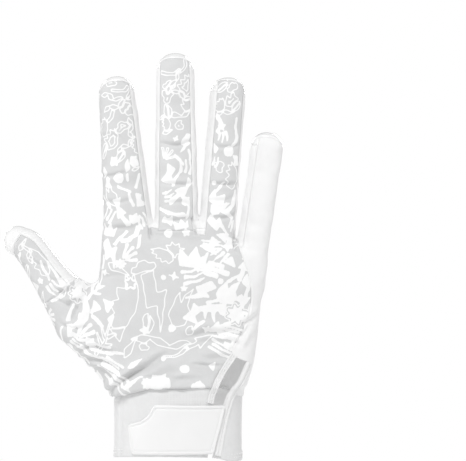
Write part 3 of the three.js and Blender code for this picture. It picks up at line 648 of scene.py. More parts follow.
# Folds pressed into the fabric: a curve from end to end through a middle point, in X and Z, on the front (-1)
# or rear (1), with its ridge height, width, and how deep a valley lies beside it, below (1) or above (-1)
foldRows = np.array([
    # fromX, fromZ, midX, midZ, toX, toZ, side, ridge, width, valley, lean
    (-48, 34.5, -24, 52, -6, 62.5, -1, .95, 2.1, .72, 1), (-40, 33, -18, 47, 4, 57, -1, .5, 2.6, .5, -1),
    (2, 73, 20, 75.5, 40, 73, -1, .6, 3.0, .75, 1), (10, 69.5, 26, 69.5, 42, 66, -1, .35, 2.4, .35, 1),
    (7, 54.5, 17, 54.8, 27, 53.5, -1, .35, 1.3, .5, 1),
    (-62, 71, -54, 84, -47, 99, -1, .9, 3.0, .8, -1), (-60, 62, -47, 66, -34, 60, -1, .8, 2.2, .6, 1),
    (-58, 58, -44, 58, -31, 50, -1, .7, 2.0, .55, 1), (-54, 53, -42, 52, -33, 44, -1, .6, 1.8, .5, 1),
    (-66, 88, -60, 92, -53, 92, -1, .6, 2.0, .7, 1), (-70, 95, -64, 98, -57, 101, -1, .5, 1.8, .5, 1),
    (-8, 44, 3, 47.5, 16, 46, -1, .45, 2.2, .4, 1), (12, 62, 24, 60, 33, 63, -1, .4, 2.4, .4, 1),
    (-46, 165.5, -38, 164.5, -29, 166.5, -1, .25, 1.8, .45, 1),
    (-45, 150, -36, 149, -26, 151, -1, .25, 2, .35, 1),
    (-44, 135, -33, 134, -22, 137, -1, .3, 2.2, .4, 1), (-47, 186, -38, 187, -31, 185, -1, .15, 1.6, .25, 1),
    (-10, 183, -1, 182.2, 8, 184, -1, .25, 1.8, .5, 1), (-10, 160, -1, 159, 9, 160.5, -1, .35, 1.9, .6, 1),
    (-10, 139.5, -1, 138.5, 9, 140, -1, .3, 2.0, .5, 1), (-9, 147, 0, 148.6, 9, 146.5, -1, .2, 1.8, .3, 1),
    (19, 160.5, 27, 158.8, 36, 160, -1, .3, 1.9, .5, 1), (20, 181, 28, 180, 36, 182, -1, .2, 1.6, .35, 1),
    (17, 141, 25, 139.6, 34, 142, -1, .3, 2.0, .45, 1), (16, 150, 24, 149.5, 33, 152, -1, .2, 1.8, .3, 1),
    (34, 77, 40, 81, 47, 86, -1, .5, 2.2, .5, 1), (36, 60, 39, 68, 44, 74, -1, .5, 2.0, .5, -1),
    (-84, 118, -80, 113, -74, 111, -1, .25, 1.6, .4, 1), (-78, 108, -73, 104, -67, 103, -1, .3, 1.8, .45, 1),
    (-74, 100, -68, 97, -62, 98, -1, .35, 1.8, .5, 1),
    # webs between the fingers, puckers below the thumb and above the wrist
    (-15.5, 134, -14.6, 130, -14, 125, -1, .1, 1.2, 1.1, 1),
    (10.5, 139, 11.4, 133, 12, 127, -1, .1, 1.3, 1.2, 1),
    (33.5, 131, 34.5, 125, 35.5, 118, -1, .1, 1.3, 1.2, 1),
    (-68, 80, -60, 76, -50, 78, -1, .35, 1.6, .35, 1), (-64, 66, -54, 68, -42, 72, -1, .3, 1.8, .35, 1),
    (-46, 104, -38, 107, -28, 106, -1, .2, 2.4, .3, 1), (-72, 93, -64, 90, -56, 87, -1, .35, 1.6, .4, 1),
    (-30, 41, -14, 44, 4, 42, -1, .25, 2.0, .3, -1), (-44, 108, -36, 111, -22, 121, -1, .15, 2.6, .2, 1),
    # palm side: the creases of a half-closed hand, the thumb's base and the heel
    (-30, 113, -2, 109, 34, 101, 1, .35, 2.6, .7, 1), (-44, 96, -14, 92, 18, 78, 1, .35, 3.0, .8, 1),
    (-36, 92, -27, 66, -22, 42, 1, .5, 3.2, .9, -1), (-60, 66, -44, 58, -28, 46, 1, .6, 2.4, .8, 1),
    (-56, 58, -42, 50, -30, 42, 1, .5, 2.2, .6, 1), (-64, 92, -58, 84, -49, 82, 1, .5, 2.2, .7, 1),
    (-30, 45, 0, 48.5, 30, 43, 1, .5, 2.4, .5, 1), (6, 52, 24, 56, 40, 60, 1, .4, 2.4, .4, 1),
    (-46, 166, -38, 165, -29, 167, 1, .15, 1.6, .7, 1), (-44, 138, -34, 137, -22, 139, 1, .2, 1.8, .7, 1),
    (-10, 183, -1, 183, 8, 184, 1, .15, 1.6, .7, 1), (-10, 159, -1, 159, 9, 160, 1, .2, 1.8, .8, 1),
    (19, 161, 27, 160, 36, 161, 1, .15, 1.6, .7, 1), (17, 139, 25, 138, 34, 140, 1, .2, 1.8, .7, 1),
    (44, 150, 50, 149, 56, 152, 1, .15, 1.5, .6, 1), (-86, 120, -80, 113, -74, 108, 1, .2, 1.6, .6, 1),
], float)


foldShape = {"margin": 3.5, "wander": .35, "wanderSize": 14, "fade": .7, "valleyAt": 1.25, "valleyWidth": .62}


# A rounded bump, one in the middle: exp(-(d/w)^2)
def bell(d, width):
    return np.exp(-(d / width) ** 2)


# A smooth wandering value from a few waves of unlike length and heading, between about -1 and 1
def waves(p, size, seed):
    rng = np.random.default_rng(seed)
    total = 0
    for k in range(5):
        way = rng.normal(size=3)
        way *= 2 * math.pi / (size * (.7 + .3 * k) * np.linalg.norm(way))
        total = total + np.sin(p @ way + rng.uniform(0, 6.28)) * (1 - .12 * k)
    return total / 3


# Height of every fold at each point: a ridge exp(-(d/w)^2) and a valley beside it, fading out to the ends
def foldHeight(p, front):
    s = foldShape
    height = np.zeros(len(p))
    t = np.linspace(0, 1, 21)
    for row in foldRows:
        start, middle, end = row[:6].reshape(3, 2)
        side, ridge, width, valley, lean = row[6:]
        bend = 2 * middle - (start + end) / 2
        line = np.outer((1 - t) ** 2, start) + np.outer(2 * t * (1 - t), bend) + np.outer(t**2, end)
        q, margin = p[:, [0, 2]], s["margin"] * width
        inReach = ((q > line.min(0) - margin) & (q < line.max(0) + margin)).all(1)
        near = np.flatnonzero((front == (side < 0)) & inReach)
        if not len(near):
            continue
        way = np.diff(line, axis=0)
        offset = q[near][:, None] - line[None, :-1]
        along = np.clip((offset * way).sum(2) / (way**2).sum(1), 0, 1)
        away = offset - along[..., None] * way
        far = np.linalg.norm(away, axis=2)
        best = far.argmin(1)
        pick = np.arange(len(near))
        cross = way[best, 0] * offset[pick, best, 1] - way[best, 1] * offset[pick, best, 0]
        d = np.sign(cross) * far[pick, best] + s["wander"] * width * waves(p[near], s["wanderSize"], 5)
        place = (best + along[pick, best]) / (len(t) - 1)
        fade = np.clip(np.sin(np.pi * np.clip(place, 0, 1)), 0, 1) ** s["fade"]
        beside = bell(d + lean * s["valleyAt"] * width, s["valleyWidth"] * width)
        height[near] += (ridge * bell(d, width) - valley * beside) * fade
    return height


# The surface is cut into panels. Each point carries its place, its normal, its distance to every panel's
# edge, which is the field over its own slope, and whether it lies on the front
fields = panelFields(points)
columns = {name: 6 + k for k, name in enumerate(fields)}
scaled = [field / np.clip(surfaceSlope(points, triangles, field), .3, 3) for field in fields.values()]
frontHalf = (gradientOf(handDistance, points)[:, 1] < 0).astype(float)
data = np.column_stack([points, normalsOf(points, triangles)] + scaled + [frontHalf])
frontColumn = data.shape[1] - 1

data, aboveHem, _ = cutMesh(data, triangles, columns["hem"])
data, _, rest = cutMesh(data, aboveHem, columns["slit"])
data, cuffTriangles, leftOver = cutMesh(data, rest, columns["cuff"])
order = [name for name in fields if name not in ("cuff", "slit", "hem")]
panels = {}
for name in order:
    data, panels[name], leftOver = cutMesh(data, leftOver, columns[name])
panels["palm_panel"] = leftOver


# A label for each triangle, the same over each connected part of a mesh
def islands(triangles, count):
    label = np.arange(count)
    while True:
        low = label[triangles].min(1)
        fresh = label.copy()
        for k in range(3):
            np.minimum.at(fresh, triangles[:, k], low)
        fresh = fresh[fresh]
        if (fresh == label).all():
            return label[triangles[:, 0]]
        label = fresh


# Scraps that a cut leaves far from their panel go to the palm, which all panels border on
for name in order:
    label = islands(panels[name], len(data))
    kinds, size = np.unique(label, return_counts=True)
    small = np.isin(label, kinds[size < .02 * size.sum()])
    if small.any():
        panels["palm_panel"] = np.vstack([panels["palm_panel"], panels[name][small]])
        panels[name] = panels[name][~small]
print("panels:", {name: len(t) for name, t in panels.items()}, "cuff", len(cuffTriangles))

relief = {
    "tuck": .9, "tuckWidth": 1.6, "blouse": 1.5, "blouseAt": 4.2, "droop": 1.7, "droopTo": 5, "pleat": .45,
    "gather": .35, "gatherTo": 7, "looseTo": 31.0, "looseFade": 6.0, "foldGain": 2.3, "palmFold": .95,
    "underTape": 3.6, "tapeFade": 1.6, "tapeSink": -.3, "uneven": .22, "unevenSize": 26, "slack": .38,
    "slackSize": 15, "evenNear": 3, "taper": 1.5, "taperUp": 13.0, "taperFrom": 4,
    "hemFold": .45, "hemHeight": 5.2, "hemEdge": .25, "hemRound": .35, "hemStitches": (2.5, 4.3),
    "stitchDepth": .22, "stitchWidth": .35, "cuffUneven": .35, "cuffWall": 1.6,
}
# turn, width, height of the ridge and groove of the cuff's own seam
cuffJoin = [(-2.72, .05, .5), (-2.62, .04, -.4)]


# Distance to the nearest seam of a panel: its own edge, and the edges of the panels cut before it
def seamDistance(v, name):
    own = [np.abs(v[:, columns[name]])] if name in columns else []
    before = order[:order.index(name)] if name in order else order
    return np.minimum.reduce(own + [np.abs(v[:, columns[n]]) for n in before] + [np.full(len(v), 50.0)])


# The first six columns of a panel's points
def placeAndNormal(v):
    return v[:, :3], v[:, 3:6] / np.linalg.norm(v[:, 3:6], axis=1)[:, None]


# One where the hand's cloth hangs loose over the cuff, falling to zero on the outer side, where it is tight
def looseShare(p):
    return np.clip((relief["looseTo"] - p[:, 0]) / relief["looseFade"], 0, 1)


# How far the cloth is drawn in at a distance from the wrist seam
def wristTuck(d, loose):
    return relief["tuck"] * (.4 + .6 * loose) * bell(d, relief["tuckWidth"])


# Zero under the slit's tapes, rising to one beside them
def besideTape(v):
    return np.clip((v[:, columns["slit"]] - relief["underTape"]) / relief["tapeFade"], 0, 1)


# Seams: a groove -g exp(-(d/w)^2) with a soft ridge beside it. Above the wrist seam the fabric tucks in, then
# rolls out and droops over the cuff by h (d/a) exp(1 - d/a). Folds and a slight unevenness come on top
def panelSurface(v, name):
    e, r = seams, relief
    p, n = placeAndNormal(v)
    d = seamDistance(v, name)
    soft = .45 if name.startswith("gusset") else 1
    tight = soft * (.75 + .45 * waves(p, 18, 15))
    groove = -tight * e["grooveDepth"] * bell(d, e["grooveWidth"])
    ridge = soft**2 * e["ridgeHeight"] * bell(d - e["ridgeAt"], e["ridgeWidth"])
    up = np.maximum(v[:, columns["cuff"]], 0)
    turn = np.arctan2(p[:, 1], p[:, 0] * .7)
    pleats = np.sin(turn * 23 + 2 * np.sin(turn * 5)) * (.5 + .5 * np.sin(turn * 7 + 1))
    loose = looseShare(p)
    roll = up / r["blouseAt"] * np.exp(1 - up / r["blouseAt"]) * loose
    front = v[:, frontColumn] > .5
    free = besideTape(v)
    free = np.where(front, free * free * (3 - 2 * free), 1)
    ripple = np.sin(p[:, 0] * 1.9 + p[:, 1] * 1.4 + 1.5 * waves(p, 12, 8))
    slack = np.where(front, r["slack"], 0) * waves(p * [.6, 1, 1], r["slackSize"], 6)
    height = groove + ridge - wristTuck(up, loose) + roll * (r["blouse"] + r["pleat"] * pleats)
    height += np.where(front, r["foldGain"], r["palmFold"]) * foldHeight(p, front)
    height -= r["taper"] * (1 - loose) * bell(up, r["taperUp"]) * (1 - bell(up, r["taperFrom"]))
    height += r["gather"] * (1 - loose) * bell(up, r["gatherTo"]) * ripple
    height += (r["uneven"] * waves(p, r["unevenSize"], 3) + slack) * np.clip(d / r["evenNear"], 0, 1)
    moved = p + n * lerp(r["tapeSink"], height, free)[:, None]
    moved[:, 2] -= r["droop"] * roll * bell(up, r["droopTo"]) * (1 + .3 * pleats) * np.clip(up / 1.5, 0, 1)
    return moved


# The cuff: a step h / (1 + exp((z - hem) / edge)) where the hem is folded, its two sunk rows of stitches, the
# tuck at the wrist seam, and its own upright seam
def cuffSurface(v):
    r = relief
    p, n = placeAndNormal(v)
    down, up = np.maximum(-v[:, columns["cuff"]], 0), np.maximum(-v[:, columns["hem"]], 0)
    turn = np.arctan2(p[:, 1], p[:, 0] * .7)
    fold = r["hemFold"] * (1 / (1 + np.exp((up - r["hemHeight"]) / r["hemEdge"])))
    stitched = sum(-r["stitchDepth"] * bell(up - at, r["stitchWidth"]) for at in r["hemStitches"])
    height = fold + stitched - wristTuck(down, looseShare(p))
    height += r["cuffUneven"] * waves(p * [1, 1, .4], 22, 9) - r["hemRound"] * bell(up, .5)
    height += sum(rise * bell(turn - at, width) for at, width, rise in cuffJoin)
    sunk = lerp(r["tapeSink"], height, besideTape(v))
    return p + n * np.where(v[:, frontColumn] > .5, sunk, height)[:, None]


# A closed body from an open surface: its copy moved inwards by the wall, turned over, and a rim round every
# edge. The kind of a face is 0 outside, 1 inside and 2 on the rim
def thicken(points, triangles, wall, normals=None):
    normals = normalsOf(points, triangles) if normals is None else normals
    count = len(points)
    directed = triangles[:, [0, 1, 1, 2, 2, 0]].reshape(-1, 2)
    key = np.sort(directed, axis=1) @ np.array([count, 1])
    _, where, number = np.unique(key, return_inverse=True, return_counts=True)
    rim = directed[number[where.ravel()] == 1]
    faces = np.vstack([triangles, triangles[:, ::-1] + count,
                       np.stack([rim[:, 1], rim[:, 0], rim[:, 0] + count], 1),
                       np.stack([rim[:, 1], rim[:, 0] + count, rim[:, 1] + count], 1)])
    kind = np.repeat([0, 1, 2], [len(triangles), len(triangles), 2 * len(rim)])
    return np.vstack([points, points - normals * wall]), faces, kind


# Points in millimetres and faces made into an object that rides on the glove
def makePiece(name, points, faces, materials, replaced=(), kind=None, values=None):
    mesh = bpy.data.meshes.new(name)
    faces = np.asarray(faces)
    mesh.vertices.add(len(points))
    mesh.vertices.foreach_set("co", (np.asarray(points) / 1000).astype(np.float32).ravel())
    mesh.loops.add(faces.size)
    mesh.loops.foreach_set("vertex_index", faces.astype(np.int32).ravel())
    mesh.polygons.add(len(faces))
    mesh.polygons.foreach_set("loop_start", np.arange(0, faces.size, faces.shape[1], dtype=np.int32))
    kind = np.zeros(len(faces), int) if kind is None else kind
    mesh.polygons.foreach_set("material_index", np.minimum((kind > 0).astype(np.int32), len(materials) - 1))
    mesh.polygons.foreach_set("use_smooth", kind < 2)
    for key, value in (values or {}).items():
        full = np.resize(value, len(points)) if len(value) * 2 == len(points) else value
        mesh.attributes.new(key, "FLOAT", "POINT").data.foreach_set("value", full.astype(np.float32))
    mesh.update()
    mesh.validate()
    for material in materials:
        mesh.materials.append(material)
    piece = bpy.data.objects.new(name, mesh)
    bpy.context.scene.collection.objects.link(piece)
    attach(piece, "root")
    if replaced:
        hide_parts(*replaced)
    return piece


# A closed outline with each corner drawn as a curve that starts a set distance before it
def roundCorners(outline, radius, steps=6):
    before, after = np.roll(outline, 1, axis=0), np.roll(outline, -1, axis=0)
    made = []
    for a, b, c in zip(before, outline, after):
        one = b + (a - b) * min(radius / np.linalg.norm(a - b), .45)
        two = b + (c - b) * min(radius / np.linalg.norm(c - b), .45)
        t = np.linspace(0, 1, steps)[:, None]
        made.append((1 - t) ** 2 * one + 2 * t * (1 - t) * b + t**2 * two)
    return np.vstack(made)


# Signed distance to a closed outline in a plane: the least distance to its sides, below zero inside
def outlineDistance(q, outline):
    a, b = outline, np.roll(outline, -1, axis=0)
    way = b - a
    offset = q[:, None] - a[None]
    t = np.clip((offset * way).sum(2) / np.maximum((way**2).sum(1), 1e-9), 0, 1)
    away = np.linalg.norm(offset - t[..., None] * way, axis=2).min(1)
    spans = (a[None, :, 1] <= q[:, None, 1]) != (b[None, :, 1] <= q[:, None, 1])
    rise = np.where(way[:, 1] == 0, 1e-9, way[:, 1])
    cross = a[None, :, 0] + way[None, :, 0] * (q[:, None, 1] - a[None, :, 1]) / rise[None]
    inside = (spans & (q[:, None, 0] < cross)).sum(1) % 2 == 1
    return np.where(inside, -away, away)


# The printed pattern: brushed shapes over the back of the hand, as distances in X and Z
marks = {
    "wobble": .45, "wobbleSize": 8.0, "ragged": .24, "raggedSize": 2.4,
    "line": .31, "edge": .12, "nest": 1.75, "halo": 1.25, "swell": .3, "gap": .6, "corner": .7, "roll": 9.0,
}


# A star: points of two radii in turn round a centre, in a unit square
def star(count, inner, phase=90.0):
    turn = np.radians(phase + 180 * np.arange(2 * count) / count)
    radius = np.where(np.arange(2 * count) % 2, inner, 1) / 2
    return np.column_stack([.5 + radius * np.cos(turn), .5 + radius * np.sin(turn)])


# A brush stroke with flat ends along a line: both sides at half the width from each point, across the way
# between its neighbours
def brush(line, width, end=None):
    line = np.array(line, float)
    way = np.gradient(line, axis=0)
    side = np.column_stack([-way[:, 1], way[:, 0]]) / np.linalg.norm(way, axis=1)[:, None]
    half = np.linspace(width, width if end is None else end, len(line))[:, None] / 2
    return np.vstack([line + side * half, (line - side * half)[::-1]])


# Closed shapes in a unit square; a motif is one or several of them
motifs = {
    "star": [star(5, .46)], "burst": [star(8, .55)], "spark": [star(4, .3, 70)], "dot": [star(7, .92)],
    "kite": [[(0, .5), (.3, .86), (1, .5), (.3, .14)]],
    "shard": [[(0, .1), (1, 0), (.66, .4), (.9, .8), (.3, 1), (.34, .55)]],
    "wedge": [[(0, 0), (1, .35), (.3, 1)]],
    "leaf": [[(0, 0), (.08, .44), (.34, .82), (.7, .98), (.97, .97), (.5, .47)], [(.1, 0), (.5, .06),
             (.84, .3), (1, .84), (.58, .42)]],
    "flame": [[(.4, 0), (.84, .12), (.98, .4), (.76, .6), (.84, 1), (.56, .8), (.46, .58), (.3, .86),
              (.1, .5), (.04, .24)]],
    "plume": [[(.42, 0), (.76, .1), (.97, .36), (.94, .7), (.62, 1), (.64, .84), (.36, .9), (.46, .7),
              (.14, .68), (.34, .5), (.04, .42), (.3, .28), (.1, .16)]],
    "bolt": [[(.3, 1), (.74, 1), (.56, .64), (.9, .62), (.16, 0), (.4, .43), (.04, .46)]],
    "arrow": [[(0, .34), (.5, .4), (.46, .08), (1, .5), (.46, .92), (.5, .64), (.04, .68)]],
    "patch": [[(.05, .3), (.3, .02), (.62, .14), (.95, .05), (1, .5), (.82, .66), (.9, .95), (.5, .86),
              (.2, 1), (.12, .66)]],
    "slash": [brush([(0, .35), (.5, .5), (1, .62)], .34, .22)],
    "rake": [brush([(0, .1), (.9, .16)], .14), brush([(.1, .38), (1, .44)], .15),
             brush([(.02, .64), (.8, .72)], .13), brush([(.16, .9), (.9, .94)], .11, .07)],
    "claws": [brush([(0, .2), (.5, .1), (1, .22)], .2, .05),
              brush([(.1, .55), (.55, .46), (.98, .6)], .19, .05),
              brush([(.02, .92), (.5, .84), (.86, .96)], .16, .05)],
    "fan": [brush([(.2, .1), (.1, .95)], .05, .17), brush([(.28, .12), (.5, .92)], .05, .18),
            brush([(.34, .08), (.86, .7)], .05, .18), brush([(.36, .02), (1, .26)], .05, .16)],
    "feather": [brush([(0, 0), (.45, .3), (1, 1)], .13, .04), brush([(.3, .26), (.22, .62)], .12, .05),
                brush([(.5, .4), (.46, .84)], .12, .04), brush([(.42, .22), (.76, .2)], .12, .05),
                brush([(.62, .44), (1, .46)], .12, .04)],
    "comet": [star(5, .48) * [.5, .62] + [.5, .38], brush([(.5, .5), (0, .3)], .13, .03),
              brush([(.62, .34), (.16, .02)], .13, .03), brush([(.46, .7), (.02, .62)], .1, .03)],
    "wave": [brush([(0, .4), (.16, .8), (.34, .74), (.5, .3), (.68, .22), (.84, .6), (1, .72)], .3, .2)],
    "bend": [brush([(0, .14), (.36, .18), (.7, .42), (.9, .96)], .24, .2)],
    "crown": [[(.06, 0), (.94, .06), (1, .8), (.76, .44), (.56, 1), (.34, .46), (0, .84)]],
    "bricks": [brush([(0, .14), (.6, .16)], .24), brush([(.3, .5), (1, .52)], .24),
               brush([(.05, .86), (.7, .84)], .24)],
    "puff": [[(0, .3), (.08, .6), (.26, .62), (.34, .9), (.62, 1), (.76, .74), (.98, .66), (1, .34),
             (.8, .16), (.5, .24), (.2, .1)]],
    "drips": [[(0, .78), (.2, .7), (.26, .3), (.34, .66), (.48, .62), (.54, .04), (.62, .6), (.74, .64),
              (.8, .4), (.88, .7), (1, .72), (.96, 1), (.04, .98)]],
    "pebble": [[(.2, 0), (.86, .05), (1, .45), (.68, .62), (.78, 1), (.3, .92), (0, .5)]],
}

